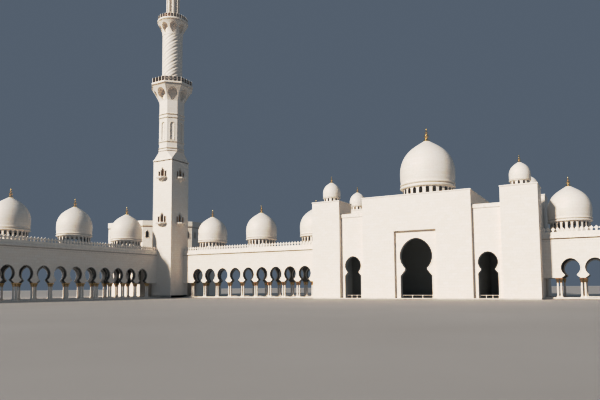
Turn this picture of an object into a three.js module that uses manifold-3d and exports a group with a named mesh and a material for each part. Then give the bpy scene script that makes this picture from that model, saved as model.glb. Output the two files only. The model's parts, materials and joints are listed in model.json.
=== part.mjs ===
// A white marble mosque: the courtyard corner with its minaret, two domed galleries and the domed portal.
// Scale model at 1:10. X runs along the portal front, Y into the building, Z up, all in millimetres.
import * as THREE from 'three';
import { mergeVertices } from 'three/addons/utils/BufferGeometryUtils.js';
import Module from 'manifold-3d';

const wasm = await Module();
wasm.setup();

// Driving dimensions. One bay is the pitch of the arcade; heights above the court are given in bays.
const modelScale = 1 / 10;
const realBay = 4200;
const bay = realBay * modelScale;
const seam = 0.3;
const gap = seam / bay;

const gallery = {
  depth: 3,
  wall: 0.24,
  floorTop: 0.05,
  wallTop: 2.7,
  roofTop: 2.85,
  parapetTop: 3.13,
  parapetThick: 0.12,
  ledge: 0.05,
  ledgeLow: 2.83,
  ledgeTop: 2.93,
  curbTop: 3.28,
  domeLine: 1.5,
};
const firstArch = 2.47;
const wingArches = 11;
const facadeArches = 9;
const hiddenArches = 2;
const eastArches = 3;
const portalMiddle = 17.47;

const keyhole = {
  halfWidth: 0.4,
  centre: 1.45,
  top: 1.88,
  neckHalf: 0.25,
  neckZ: 1.09,
  footHalf: 0.4,
  footZ: 0.97,
};
const column = { radius: 0.045, pairGap: 0.146, inset: 0.12, stripTop: 0.08 };

const galleryDome = { radius: 1.0, drumRadius: 0.9, drumBase: 3.28, ringLow: 3.68, ringHigh: 3.9, top: 5.55,
  piers: 12, segments: 16, finial: 0.48 };
const mainDome = { radius: 1.5, drumRadius: 1.36, drumBase: 5.42, ringLow: 5.97, ringHigh: 6.3, top: 8.8,
  piers: 16, segments: 24, finial: 0.74 };
const towerDome = { radius: 0.5, drumRadius: 0.44, drumBase: 5.36, ringLow: 5.62, ringHigh: 5.72, top: 6.6,
  piers: 8, segments: 10, finial: 0.34 };
// Shares of a dome's rise: the bulge above the ring, the round part and the pointed tip
const domeShape = { bulge: 0.23, round: 0.63, tip: 0.14, sharpness: 6, fullness: 0.86, steps: 7 };

const minaret = {
  width: 1.62,
  behind: 0.42,
  wall: 0.24,
  squareTop: 9.15,
  lipTop: 9.22,
  broachTop: 9.76,
  bore: 0.5,
  roundRadius: 0.69,
  roundWall: 0.2,
  roundSides: 16,
};
const oriel = { floors: [4.98, 8.02], radius: 0.35, depth: 0.34, doorHalf: 0.12, doorSpring: 0.42,
  doorTip: 0.66 };
// Balconies: a curved flare out from the shaft, and a rim that carries the deck and the railing
const lowerBalcony = { neck: 0.81, flare: 13.22, reach: 1.28, curve: 1.3, rim: 1.36, rimLow: 14.25,
  deck: 14.4, rail: 0.36 };
const upperBalcony = { neck: 0.69, flare: 17.95, reach: 1.0, curve: 2, rim: 1.04, rimLow: 18.86,
  deck: 19.0, rail: 0.3 };
const lanternForm = { columnRing: 0.395, columnRadius: 0.06, columns: 8, lidLow: 21.35, lidNeck: 0.47,
  lidRadius: 0.62, lidTop: 21.8 };
const crown = { foot: 0.42, belly: 0.54, bellyZ: 22.3, shoulderZ: 22.7, neckZ: 23.3, top: 23.9,
  finialTop: 25.5 };

const portal = {
  front: -1.2,
  towerWidth: 1.66,
  towerOuter: 5.84,
  blockHalf: 2.83,
  bayRecess: 0.24,
  height: 5.36,
  bayHeight: 4.6,
  wall: 0.42,
  bayWall: 0.3,
  roofThick: 0.16,
  frameHalf: 1.09,
  frameTop: 3.49,
  frameDepth: 0.18,
  sideWall: 0.3,
  towerWall: 0.25,
  curbRadius: 1.42,
  wellRadius: 1.1,
};
const mainArch = { halfWidth: 0.84, centre: 2.18, top: 3.1, neckHalf: 0.585, neckZ: 1.46,
  shoulderZ: 1.17, footHalf: 0.82, footZ: 0.02 };
const bayArch = { halfWidth: 0.46, centre: 1.78, top: 2.28, neckHalf: 0.325, neckZ: 1.4,
  shoulderZ: 1.24, footHalf: 0.46, footZ: 0.02 };
const portalBack = gallery.depth - portal.front;

const hall = { apothem: 4.45, wall: 0.3, roofLow: 5.22, roofTop: 5.38, parapetTop: 5.72, band: 0.05,
  bandLow: 5.36, windowOffset: 1.5, windowHalf: 0.11, windowLow: 4.45, windowSpring: 4.82, windowTip: 5.0 };

// Finishes
const marble = { color: 0xf0e8de, roughness: 0.45, metalness: 0 };
const gilding = { color: 0xb8862f, roughness: 0.35, metalness: 1 };
const paving = { color: 0xe6dfd6, roughness: 0.3, metalness: 0 };

const model = new THREE.Group();

function addPiece(name, geometry, finish) {
  const mesh = new THREE.Mesh(geometry, new THREE.MeshStandardMaterial(finish));
  mesh.name = name;
  model.add(mesh);
  return mesh;
}

// Solids: joining and cutting closed meshes
function toSolid(geometry) {
  const bare = geometry.clone();
  bare.deleteAttribute('normal');
  bare.deleteAttribute('uv');
  const merged = mergeVertices(bare, 1e-3);
  const count = merged.attributes.position.count;
  const triangles = merged.index ? merged.index.array : Uint32Array.from({ length: count }, (_, i) => i);
  return new wasm.Manifold(new wasm.Mesh({
    numProp: 3,
    vertProperties: new Float32Array(merged.attributes.position.array),
    triVerts: new Uint32Array(triangles),
  }));
}

function toGeometry(solid) {
  const mesh = solid.getMesh();
  const geometry = new THREE.BufferGeometry();
  geometry.setAttribute('position', new THREE.BufferAttribute(new Float32Array(mesh.vertProperties), 3));
  geometry.setIndex(new THREE.BufferAttribute(new Uint32Array(mesh.triVerts), 1));
  geometry.computeVertexNormals();
  return geometry;
}

function join(solids) {
  return solids.reduce((whole, piece) => whole.add(piece));
}

// A box from its low and high corners, in bays
function block(x0, x1, y0, y1, z0, z1) {
  const box = new THREE.BoxGeometry((x1 - x0) * bay, (y1 - y0) * bay, (z1 - z0) * bay);
  box.translate((x0 + x1) / 2 * bay, (y0 + y1) / 2 * bay, (z0 + z1) / 2 * bay);
  return toSolid(box);
}

// A closed outline in bays, extruded along Z
function slab(outline, z0, z1) {
  const shape = new THREE.Shape(outline.map(([x, y]) => new THREE.Vector2(x * bay, y * bay)));
  const geometry = new THREE.ExtrudeGeometry(shape, { depth: (z1 - z0) * bay, bevelEnabled: false });
  geometry.translate(0, 0, z0 * bay);
  return toSolid(geometry);
}

// An upright outline (u, z) in bays, extruded through a wall that stands along X at y0 to y1
function wallAlongX(outline, y0, y1) {
  const shape = new THREE.Shape(outline.map(([u, z]) => new THREE.Vector2(u * bay, z * bay)));
  const geometry = new THREE.ExtrudeGeometry(shape, { depth: (y1 - y0) * bay, bevelEnabled: false });
  geometry.rotateX(Math.PI / 2);
  geometry.translate(0, y1 * bay, 0);
  return toSolid(geometry);
}

// The same outline for a wall that stands along Y between x0 and x1; u is measured along Y
function wallAlongY(outline, x0, x1) {
  return wallAlongX(outline, -x1, -x0).rotate([0, 0, 90]);
}

// A turned solid from (radius, z) points in bays
function turned(profile, segments, x, y) {
  const points = profile.map(([r, z]) => new THREE.Vector2(r * bay, z * bay));
  const geometry = new THREE.LatheGeometry(points, segments);
  geometry.rotateX(Math.PI / 2);
  return toSolid(geometry).translate([x * bay, y * bay, 0]);
}

// A plain upright cylinder
function drum(radius, z0, z1, segments, x, y) {
  return turned([[0, z0], [radius, z0], [radius, z1], [0, z1]], segments, x, y);
}

// Half of the horseshoe outline from the foot to the top, as (offset, z) points in bays
function horseshoe(arch, steps) {
  const points = [[arch.footHalf, arch.footZ]];
  if (arch.shoulderZ) {
    points.push([arch.footHalf, arch.shoulderZ]);
  }
  points.push([arch.neckHalf, arch.neckZ]);
  const start = Math.asin((arch.neckZ - arch.centre) / arch.halfWidth * 0.97);
  const pointed = arch.top - arch.centre - arch.halfWidth;
  for (let i = 1; i <= steps; i += 1) {
    const angle = start + (Math.PI / 2 - start) * i / steps;
    const lift = pointed * Math.max(0, Math.sin(angle)) ** 4;
    points.push([arch.halfWidth * Math.cos(angle), arch.centre + arch.halfWidth * Math.sin(angle) + lift]);
  }
  return points;
}

// Both halves of the outline, from left foot over the top to right foot, centred on u
function archPath(u, arch, steps) {
  const half = horseshoe(arch, steps);
  const left = half.map(([offset, z]) => [u - offset, z]);
  const right = half.slice(0, -1).reverse().map(([offset, z]) => [u + offset, z]);
  return [...left, ...right];
}

// An arcade wall: solid above the springing line, notched from below by a row of horseshoe arches
function arcadeOutline(start, end, centres, steps) {
  const low = keyhole.footZ;
  const notches = centres.flatMap((u) => archPath(u, keyhole, steps));
  return [[start, low], ...notches, [end, low], [end, gallery.wallTop], [start, gallery.wallTop]];
}

function archCentres(count) {
  return Array.from({ length: count }, (_, i) => firstArch + i);
}

// Twin columns on a low strip, one pair at each end of every arch
function columnRow(pairCentres, across, stripStart, stripEnd, along) {
  const low = gallery.floorTop + gap;
  const half = 0.12;
  const place = (u, v) => (along === 'x' ? [u, v] : [v, u]);
  const strip = along === 'x'
    ? block(stripStart, stripEnd, across - half, across + half, low, column.stripTop)
    : block(across - half, across + half, stripStart, stripEnd, low, column.stripTop);
  const shafts = pairCentres.flatMap((u) => [-0.5, 0.5].map((side) => {
    const [x, y] = place(u + side * column.pairGap, across);
    return drum(column.radius, low, keyhole.footZ + 0.01, 6, x, y);
  }));
  return join([strip, ...shafts]);
}

// A dome on a ring of upright piers; the gaps between the piers are the drum's windows
function dome(form, x, y) {
  const { radius, drumRadius, ringLow, ringHigh, top, piers, segments } = form;
  const low = form.drumBase + gap;
  const thick = radius * 0.14;
  const rise = top - ringHigh;
  const { bulge, round, tip, sharpness, fullness, steps } = domeShape;
  const curve = Array.from({ length: steps }, (_, i) => {
    const t = i / steps;
    const angle = t * Math.PI / 2;
    const share = bulge + round * Math.sin(angle) + tip * t ** sharpness;
    return [radius * Math.cos(angle) ** fullness, ringHigh + rise * share];
  });
  const inner = drumRadius - thick;
  const ring = [[inner, ringLow], [radius * 0.96, ringLow], [radius * 1.02, ringHigh - 0.04],
    [radius * 0.97, ringHigh]];
  const cavity = [[0, top - thick * 1.6], [radius * 0.72, ringHigh + rise * 0.5], [inner, ringLow]];
  const shell = turned([...ring, ...curve, [0, top], ...cavity], segments, 0, 0);
  const size = form.finial;
  const knobs = [[0, -0.1], [0.1, -0.1], [0.14, 0.25], [0.03, 0.48], [0.09, 0.64], [0, 1]];
  const finial = turned(knobs.map(([r, z]) => [r * size, top + z * size]), 6, 0, 0);
  const half = radius * 0.05;
  const pier = block(inner + thick * 0.15, drumRadius, -half, half, low, ringLow + 0.02);
  const legs = Array.from({ length: piers }, (_, i) => pier.rotate([0, 0, (i + 0.5) * 360 / piers]));
  return join([shell, finial, ...legs]).translate([x * bay, y * bay, 0]);
}

function addDome(name, form, x, y) {
  addPiece(name, toGeometry(dome(form, x, y)), marble);
}

// A horseshoe door, wide enough to walk through, as a solid to cut with
function doorCutter(arch, u, y0, y1, steps) {
  const path = archPath(u, arch, steps);
  const foot = -0.2;
  const outline = [[u - arch.footHalf, foot], ...path, [u + arch.footHalf, foot]];
  return wallAlongX(outline, y0, y1);
}

// Galleries
const back = gallery.depth;
const wall = gallery.wall;
const minaretSide = minaret.width - minaret.behind;
const minaretMiddle = minaret.width / 2 - minaret.behind;
const wingPier = -(firstArch + wingArches - 0.5);
const wingInner = wingPier + 0.08;
const wingEnd = wingPier - 0.16;
const towerLeft = portalMiddle - portal.towerOuter;
const towerRight = portalMiddle + portal.towerOuter;
const eastFirst = 2 * portalMiddle - (firstArch + facadeArches - 1);
const eastPier = eastFirst + eastArches - 0.5;
const eastInner = eastPier - 0.08;
const eastEnd = eastPier + 0.16;
const cornerStart = hiddenArches + 0.5 - firstArch;
const standing = gallery.floorTop + gap;

const wingCentres = archCentres(wingArches).map((u) => -u).reverse();
const facadeCentres = archCentres(facadeArches);
const eastCentres = Array.from({ length: eastArches }, (_, i) => eastFirst + i);
const everyFourth = (centres) => centres.filter((_, i) => i % 4 === 0);
const hiddenCentres = Array.from({ length: hiddenArches }, (_, i) => firstArch - hiddenArches + i);
const wingRearCentres = [...wingCentres, ...hiddenCentres.map((u) => -u).reverse()];
const facadeRearCentres = [...hiddenCentres, ...facadeCentres];
const pairsOf = (centres) => [centres[0] - 0.5, ...centres.map((u) => u + 0.5)];

// A roof plate with its parapets, the round curbs under the domes, and the cornice ledge round the outside
function roofWithCurbs(outline, ledgeOutline, domeCentres, parapets) {
  const low = gallery.wallTop + gap;
  const curb = galleryDome.drumRadius + 0.04;
  const well = galleryDome.drumRadius - 0.2;
  const plate = slab(outline, low, gallery.roofTop);
  const cornice = slab(ledgeOutline, gallery.ledgeLow, gallery.ledgeTop);
  const curbs = domeCentres.map(([x, y]) => drum(curb, low, gallery.curbTop, galleryDome.segments, x, y));
  const wells = domeCentres.map(([x, y]) => drum(well, low - 0.1, gallery.curbTop + 0.1,
    galleryDome.segments, x, y));
  const edges = parapets.map(([x0, x1, y0, y1]) => block(x0, x1, y0, y1, low + 0.05, gallery.parapetTop));
  return wells.reduce((solid, hole) => solid.subtract(hole), join([plate, cornice, ...curbs, ...edges]));
}

// The wing and the corner share one floor and one roof, notched around the minaret
const clearSide = minaretSide + gap;
const clearBehind = minaret.behind + gap;
const wingOutline = [[-back, wingEnd], [0, wingEnd], [0, -clearSide], [-clearBehind, -clearSide],
  [-clearBehind, clearBehind], [-gap, clearBehind], [-gap, back], [-back, back]];
const facadeOutline = [[gap, clearBehind], [clearSide, clearBehind], [clearSide, 0],
  [towerLeft - gap, 0], [towerLeft - gap, back], [gap, back]];

// The ledges stand out from the walls, and the wing's is cut off where the corner hall touches it
const out = gallery.ledge;
const wingLedge = [[-back - out, wingEnd - out], [out, wingEnd - out], [out, -clearSide],
  [-clearBehind, -clearSide], [-clearBehind, clearBehind], [-gap, clearBehind], [-gap, back + out],
  [out - back, back + out], [-back - out, back - out]];
const facadeLedge = [[gap, clearBehind], [clearSide, clearBehind], [clearSide, -out],
  [towerLeft - gap, -out], [towerLeft - gap, back + out], [gap, back + out]];

function addWing() {
  const rowStart = wingInner + gap;
  const frontEnd = -clearSide;
  const columnsEnd = 0.7 - firstArch;
  const pairs = pairsOf(wingCentres).slice(1);
  addPiece('wing_floor', toGeometry(slab(wingOutline, 0, gallery.floorTop)), paving);
  const frontWall = wallAlongY(arcadeOutline(rowStart, frontEnd, wingCentres, 5), -wall, 0);
  const frontColumns = columnRow(pairs, -column.inset, rowStart, columnsEnd, 'y');
  addPiece('wing_front_arcade', toGeometry(frontWall.add(frontColumns)), marble);
  const rearPairs = pairsOf(wingRearCentres).slice(1, -1);
  const rearWall = wallAlongY(arcadeOutline(rowStart, back, wingRearCentres, 4), -back, wall - back);
  const rearColumns = columnRow(rearPairs, column.inset - back, rowStart, cornerStart + 0.1, 'y');
  const corner = join([block(-back, wall - back, cornerStart, back, standing, gallery.wallTop),
    block(-back, -gap, back - wall, back, standing, gallery.wallTop)]);
  addPiece('wing_rear_arcade', toGeometry(join([rearWall, rearColumns, corner])), marble);
  addPiece('wing_end_wall',
    toGeometry(block(-back, 0, wingEnd, wingInner, standing, gallery.wallTop)), marble);
  const line = -gallery.domeLine;
  const spots = [...everyFourth([...wingCentres].reverse()), -line].map((y) => [line, y]);
  const thick = gallery.parapetThick;
  const parapets = [[-thick, 0, wingEnd, frontEnd], [-back, 0, wingEnd, wingEnd + thick],
    [-back, thick - back, wingEnd, back], [-back, -gap, back - thick, back]];
  addPiece('wing_roof', toGeometry(roofWithCurbs(wingOutline, wingLedge, spots, parapets)), marble);
  spots.slice(0, 3).forEach(([x, y], i) => addDome(`wing_dome_${i + 1}`, galleryDome, x, y));
  addDome('corner_dome', galleryDome, line, -line);
}

function addFacadeGallery() {
  const frontStart = clearSide;
  const end = towerLeft - gap;
  const columnsStart = firstArch - 0.7;
  const pairs = pairsOf(facadeCentres);
  addPiece('facade_floor', toGeometry(slab(facadeOutline, 0, gallery.floorTop)), paving);
  const frontWall = wallAlongX(arcadeOutline(frontStart, end, facadeCentres, 5), 0, wall);
  const frontColumns = columnRow(pairs, column.inset, columnsStart, end, 'x');
  addPiece('facade_front_arcade', toGeometry(frontWall.add(frontColumns)), marble);
  const rearWall = wallAlongX(arcadeOutline(gap, end, facadeRearCentres, 4), back - wall, back);
  const rearPairs = pairsOf(facadeRearCentres).slice(1);
  const rearColumns = columnRow(rearPairs, back - column.inset, gap, end, 'x');
  addPiece('facade_rear_arcade', toGeometry(rearWall.add(rearColumns)), marble);
  const spots = everyFourth(facadeCentres).map((x) => [x, gallery.domeLine]);
  const thick = gallery.parapetThick;
  const parapets = [[frontStart, end, 0, thick], [gap, end, back - thick, back]];
  addPiece('facade_roof', toGeometry(roofWithCurbs(facadeOutline, facadeLedge, spots, parapets)), marble);
  spots.forEach(([x, y], i) => addDome(`facade_dome_${i + 1}`, galleryDome, x, y));
}

function addEastGallery() {
  const start = towerRight + gap;
  const inner = eastInner - gap;
  const pairs = pairsOf(eastCentres).slice(0, -1);
  addPiece('east_floor', toGeometry(block(start, eastEnd, 0, back, 0, gallery.floorTop)), paving);
  const frontWall = wallAlongX(arcadeOutline(start, inner, eastCentres, 5), 0, wall);
  const frontColumns = columnRow(pairs, column.inset, start, inner, 'x');
  addPiece('east_front_arcade', toGeometry(frontWall.add(frontColumns)), marble);
  const rearWall = wallAlongX(arcadeOutline(start, inner, eastCentres, 4), back - wall, back);
  const rearColumns = columnRow(pairs, back - column.inset, start, inner, 'x');
  addPiece('east_rear_arcade', toGeometry(rearWall.add(rearColumns)), marble);
  addPiece('east_end_wall',
    toGeometry(block(eastInner, eastEnd, 0, back, standing, gallery.wallTop)), marble);
  const outline = [[start, 0], [eastEnd, 0], [eastEnd, back], [start, back]];
  const thick = gallery.parapetThick;
  const parapets = [[start, eastEnd, 0, thick], [eastEnd - thick, eastEnd, 0, back],
    [start, eastEnd, back - thick, back]];
  const spot = [eastFirst, gallery.domeLine];
  const ledge = [[start, -out], [eastEnd + out, -out], [eastEnd + out, back + out], [start, back + out]];
  addPiece('east_roof', toGeometry(roofWithCurbs(outline, ledge, [spot], parapets)), marble);
  addDome('east_dome', galleryDome, ...spot);
}

// Portal: a tall block between two lower bays, with a tower at each of the four corners
const blockLeft = portalMiddle - portal.blockHalf;
const blockRight = portalMiddle + portal.blockHalf;
const towerInner = portal.towerOuter - portal.towerWidth;

// The framed wall of the block; y is its outer face and side is +1 where the building lies towards +Y
function framedWall(side, y, steps) {
  const faces = (a, b) => (side > 0 ? [y + a, y + b] : [y - b, y - a]);
  const plain = block(blockLeft, blockRight, ...faces(0, portal.wall), standing, portal.height);
  const recess = block(portalMiddle - portal.frameHalf, portalMiddle + portal.frameHalf,
    ...faces(-0.1, portal.frameDepth), 0, portal.frameTop);
  const depth = side > 0 ? portal.wall + 0.2 : portal.frameDepth + 0.12;
  return plain.subtract(recess).subtract(doorCutter(mainArch, portalMiddle, ...faces(-0.1, depth), steps));
}

// A side bay's wall with its keyhole door; on the rear the door is a blind niche
function bayWall(side, left, y, steps) {
  const faces = (a, b) => (side > 0 ? [y + a, y + b] : [y - b, y - a]);
  const [near, far] = [portal.blockHalf + gap, towerInner - gap];
  const [x0, x1] = left ? [-far, -near] : [near, far];
  const plain = block(x0, x1, ...faces(0, portal.bayWall), standing, portal.bayHeight);
  const depth = side > 0 ? portal.bayWall + 0.1 : 0.12;
  const door = doorCutter(bayArch, (x0 + x1) / 2, ...faces(-0.1, depth), steps);
  return plain.subtract(door).translate([portalMiddle * bay, 0, 0]);
}

function tower(left, y0) {
  const x0 = left ? towerLeft : towerRight - portal.towerWidth;
  const width = portal.towerWidth;
  const [near, far] = [portal.towerWall, width - portal.towerWall];
  const outer = block(x0, x0 + width, y0, y0 + width, standing, portal.height);
  const inner = block(x0 + near, x0 + far, y0 + near, y0 + far, -0.1, portal.height - portal.roofThick);
  return outer.subtract(inner);
}

// The outer wall between a front and a rear tower, with a doorway to the gallery
function flankWall(left, y0, y1) {
  const x0 = left ? towerLeft + gap : towerRight - portal.bayWall - gap;
  const outline = [[y0, standing], [y1, standing], [y1, portal.bayHeight], [y0, portal.bayHeight]];
  const plain = wallAlongY(outline, x0, x0 + portal.bayWall);
  const door = doorCutter(bayArch, 0, -0.1, portal.bayWall + 0.1, 5).rotate([0, 0, 90]);
  return plain.subtract(door.translate([(x0 + portal.bayWall) * bay, gallery.domeLine * bay, 0]));
}

// The lower roof covers a side bay and reaches out between the two towers
function sideRoof(left) {
  const sign = left ? -1 : 1;
  const inner = portal.blockHalf + gap;
  const bayBack = portalBack - portal.bayRecess - portal.bayWall - gap;
  const bayFront = portal.front + portal.bayRecess + portal.bayWall + gap;
  const flankFront = portal.front + portal.towerWidth + gap;
  const flankBack = portalBack - portal.towerWidth - gap;
  const outer = portal.towerOuter - portal.bayWall - 2 * gap;
  const edge = towerInner - gap;
  const outline = [[inner, bayFront], [edge, bayFront], [edge, flankFront], [outer, flankFront],
    [outer, flankBack], [edge, flankBack], [edge, bayBack], [inner, bayBack]];
  const placed = outline.map(([offset, y]) => [portalMiddle + sign * offset, y]);
  return slab(left ? placed.reverse() : placed, portal.bayHeight - 0.3, portal.bayHeight - 0.14);
}

function addPortal() {
  addPiece('portal_floor',
    toGeometry(block(towerLeft, towerRight, portal.front, portalBack, 0, gallery.floorTop)), paving);
  addPiece('portal_front_wall', toGeometry(framedWall(1, portal.front, 9)), marble);
  addPiece('portal_rear_wall', toGeometry(framedWall(-1, portalBack, 6)), marble);
  const bayFront = portal.front + portal.bayRecess;
  const bayBack = portalBack - portal.bayRecess;
  const sideFront = portal.front + portal.wall + gap;
  const sideBack = portalBack - portal.wall - gap;
  const side = portal.sideWall;
  [true, false].forEach((left) => {
    const word = left ? 'left' : 'right';
    const x0 = left ? blockLeft : blockRight - side;
    addPiece(`portal_${word}_wall`,
      toGeometry(block(x0, x0 + side, sideFront, sideBack, standing, portal.height)), marble);
    addPiece(`${word}_bay_front_wall`, toGeometry(bayWall(1, left, bayFront, 7)), marble);
    addPiece(`${word}_bay_rear_wall`, toGeometry(bayWall(-1, left, bayBack, 5)), marble);
    addPiece(`${word}_flank_wall`, toGeometry(flankWall(left, portal.front + portal.towerWidth + gap,
      portalBack - portal.towerWidth - gap)), marble);
    addPiece(`${word}_bay_roof`, toGeometry(sideRoof(left)), marble);
    ['front', 'rear'].forEach((end) => {
      const y0 = end === 'front' ? portal.front : portalBack - portal.towerWidth;
      addPiece(`${word}_${end}_tower`, toGeometry(tower(left, y0)), marble);
      const x = portalMiddle + (left ? -1 : 1) * (portal.towerOuter - portal.towerWidth / 2);
      addDome(`${word}_${end}_tower_dome`, towerDome, x, y0 + portal.towerWidth / 2);
    });
  });
  const roofTop = mainDome.drumBase;
  const roofLow = portal.height - 0.26;
  const plate = block(blockLeft + side + gap, blockRight - side - gap, sideFront, sideBack,
    roofLow, roofLow + portal.roofThick);
  const middle = [mainDome.segments, portalMiddle, gallery.domeLine];
  const curb = drum(portal.curbRadius, roofLow, roofTop, ...middle);
  const well = drum(portal.wellRadius, roofLow - 0.1, roofTop + 0.1, ...middle);
  addPiece('portal_roof', toGeometry(plate.add(curb).subtract(well)), marble);
  addDome('portal_dome', mainDome, portalMiddle, gallery.domeLine);
}

// Minaret: a square shaft, a broach to an octagon, a balcony, a round shaft, a second balcony and a lantern
function squareToOctagon(halfWidth, apothem, z0, z1) {
  const corner = apothem * Math.tan(Math.PI / 8);
  const base = [[1, -1], [1, 1], [-1, 1], [-1, -1]].map(([x, y]) => [x * halfWidth, y * halfWidth, z0]);
  const top = [[1, -1], [1, 1], [-1, 1], [-1, -1]].flatMap(([x, y], i) => {
    const onSide = [x * apothem, y * corner, z1];
    const onNext = [x * corner, y * apothem, z1];
    return i % 2 ? [onSide, onNext] : [onNext, onSide];
  });
  const points = [...base, ...top];
  const faces = [[0, 2, 1], [0, 3, 2]];
  for (let i = 0; i < 4; i += 1) {
    const next = (i + 1) % 4;
    const [a, b, c] = [4 + 2 * i, 5 + 2 * i, 4 + 2 * next];
    faces.push([i, b, a], [i, next, b], [next, c, b]);
  }
  for (let i = 1; i < 7; i += 1) {
    faces.push([4, 4 + i, 5 + i]);
  }
  const geometry = new THREE.BufferGeometry();
  geometry.setAttribute('position', new THREE.Float32BufferAttribute(points.flat().map((v) => v * bay), 3));
  geometry.setIndex(faces.flat());
  return toSolid(geometry);
}

function turnedOctagon(profile) {
  const stretch = 1 / Math.cos(Math.PI / 8);
  return turned(profile.map(([r, z]) => [r * stretch, z]), 8, 0, 0).rotate([0, 0, 22.5]);
}

const onMinaret = (solid) => toGeometry(solid.translate([minaretMiddle * bay, -minaretMiddle * bay, 0]));

// A square shaft with two tiers of bracketed doorways, one doorway on each face
function squareShaft() {
  const half = minaret.width / 2;
  const hollow = half - minaret.wall;
  const lip = half + 0.04;
  const quarters = [0, 90, 180, 270];
  const shaft = join([block(-half, half, -half, half, 0, minaret.squareTop + 0.02),
    block(-lip, lip, -lip, lip, minaret.squareTop, minaret.lipTop)]);
  const { floors, radius, depth, doorHalf, doorSpring, doorTip } = oriel;
  const bracket = (z) => turned([[0, z - depth], [0.06, z - 0.9 * depth], [0.8 * radius, z - 0.3 * depth],
    [radius, z - 0.2 * depth], [radius, z], [0, z]], 8, half, 0);
  const doorway = (z) => wallAlongY([[-doorHalf, z + gap], [doorHalf, z + gap], [doorHalf, z + doorSpring],
    [0, z + doorTip], [-doorHalf, z + doorSpring]], hollow - 0.1, half + 0.1);
  const everyFace = (solid) => quarters.map((turn) => solid.rotate([0, 0, turn]));
  const brackets = floors.flatMap((z) => everyFace(bracket(z)));
  const doorways = floors.flatMap((z) => everyFace(doorway(z)));
  const groundDoor = block(-half - 0.1, 0.1 - hollow, -0.2, 0.2, -0.1, 0.65);
  const inside = block(-hollow, hollow, -hollow, hollow, -0.1, minaret.lipTop + 0.1);
  const body = join([shaft, ...brackets]);
  return [inside, groundDoor, ...doorways].reduce((solid, cut) => solid.subtract(cut), body);
}

function octagonShaft() {
  const { bore, broachTop, width } = minaret;
  const apothem = lowerBalcony.neck;
  const low = minaret.lipTop + gap;
  const top = lowerBalcony.flare;
  const broach = squareToOctagon(width / 2, apothem, low, broachTop);
  const shaft = turnedOctagon([[0, low + 0.05], [apothem, low + 0.05], [apothem, top], [0, top]]);
  const inside = turnedOctagon([[0, low - 0.1], [bore, low - 0.1], [bore, top + 0.1], [0, top + 0.1]]);
  return broach.add(shaft).subtract(inside);
}

// A ring with a square section, round or with eight sides
const ringProfile = (r0, r1, z0, z1) => [[r0, z0], [r1, z0], [r1, z1], [r0, z1], [r0, z0]];

// The lower deck has the round shaft's bore through it, and the upper one closes the shaft
function balconyProfile(form, bore, closed) {
  const low = form.flare + gap;
  const steps = 4;
  const flare = Array.from({ length: steps + 1 }, (_, i) => {
    const share = i / steps;
    return [form.neck + (form.reach - form.neck) * share ** form.curve, low + (form.rimLow - low) * share];
  });
  const rim = [[form.rim, form.rimLow], [form.rim, form.deck]];
  const top = closed ? [[0, form.deck], [0, form.rimLow], [bore, form.rimLow]] : [[bore, form.deck]];
  return [[bore, low], ...flare, ...rim, ...top, [bore, low]];
}

const railProfile = ({ rim, deck, rail }) => ringProfile(rim - 0.1, rim - 0.05, deck + gap, deck + rail);

function lantern(deck) {
  const { columnRing, columnRadius, columns, lidLow, lidNeck, lidRadius, lidTop } = lanternForm;
  const foot = columnRing - columnRadius;
  const post = drum(columnRadius, deck, lidLow + 0.2, 8, columnRing, 0);
  const posts = Array.from({ length: columns }, (_, i) => post.rotate([0, 0, i * 360 / columns]));
  const base = turned(ringProfile(foot - 0.05, 0.5, deck, deck + 0.12), minaret.roundSides, 0, 0);
  const lid = turned([[0, lidLow], [lidNeck, lidLow], [lidRadius, lidTop - 0.1], [lidRadius, lidTop],
    [0, lidTop]], minaret.roundSides, 0, 0);
  return join([base, lid, ...posts]);
}

function addMinaret() {
  const { bore, roundRadius, roundSides } = minaret;
  addPiece('minaret_square_shaft', onMinaret(squareShaft()), marble);
  addPiece('minaret_octagon_shaft', onMinaret(octagonShaft()), marble);
  const lowerCup = turnedOctagon(balconyProfile(lowerBalcony, bore, false));
  addPiece('minaret_lower_balcony', onMinaret(lowerCup), marble);
  addPiece('minaret_lower_railing', onMinaret(turnedOctagon(railProfile(lowerBalcony))), gilding);

  const core = roundRadius - minaret.roundWall;
  const lowerDeck = lowerBalcony.deck + gap;
  const upperDeck = upperBalcony.deck + gap;
  const roundPiece = (profile, sides) => onMinaret(turned(profile, sides, 0, 0));
  const round = ringProfile(core, roundRadius, lowerDeck, upperBalcony.flare);
  addPiece('minaret_round_shaft', roundPiece(round, roundSides), marble);
  addPiece('minaret_upper_balcony', roundPiece(balconyProfile(upperBalcony, core, true), roundSides), marble);
  addPiece('minaret_upper_railing', roundPiece(railProfile(upperBalcony), roundSides), gilding);

  addPiece('minaret_lantern', onMinaret(lantern(upperDeck)), marble);
  const { foot, belly, bellyZ, shoulderZ, neckZ, top, finialTop } = crown;
  const low = lanternForm.lidTop + gap;
  const finial = finialTop - top;
  addPiece('minaret_cap', roundPiece([[0, low], [foot, low], [belly, bellyZ], [0.92 * belly, shoulderZ],
    [0.55 * belly, neckZ], [0.1, top], [0.05, top + 0.12 * finial], [0.12, top + 0.3 * finial],
    [0.04, top + 0.56 * finial], [0, finialTop]], 12), gilding);
}

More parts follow.
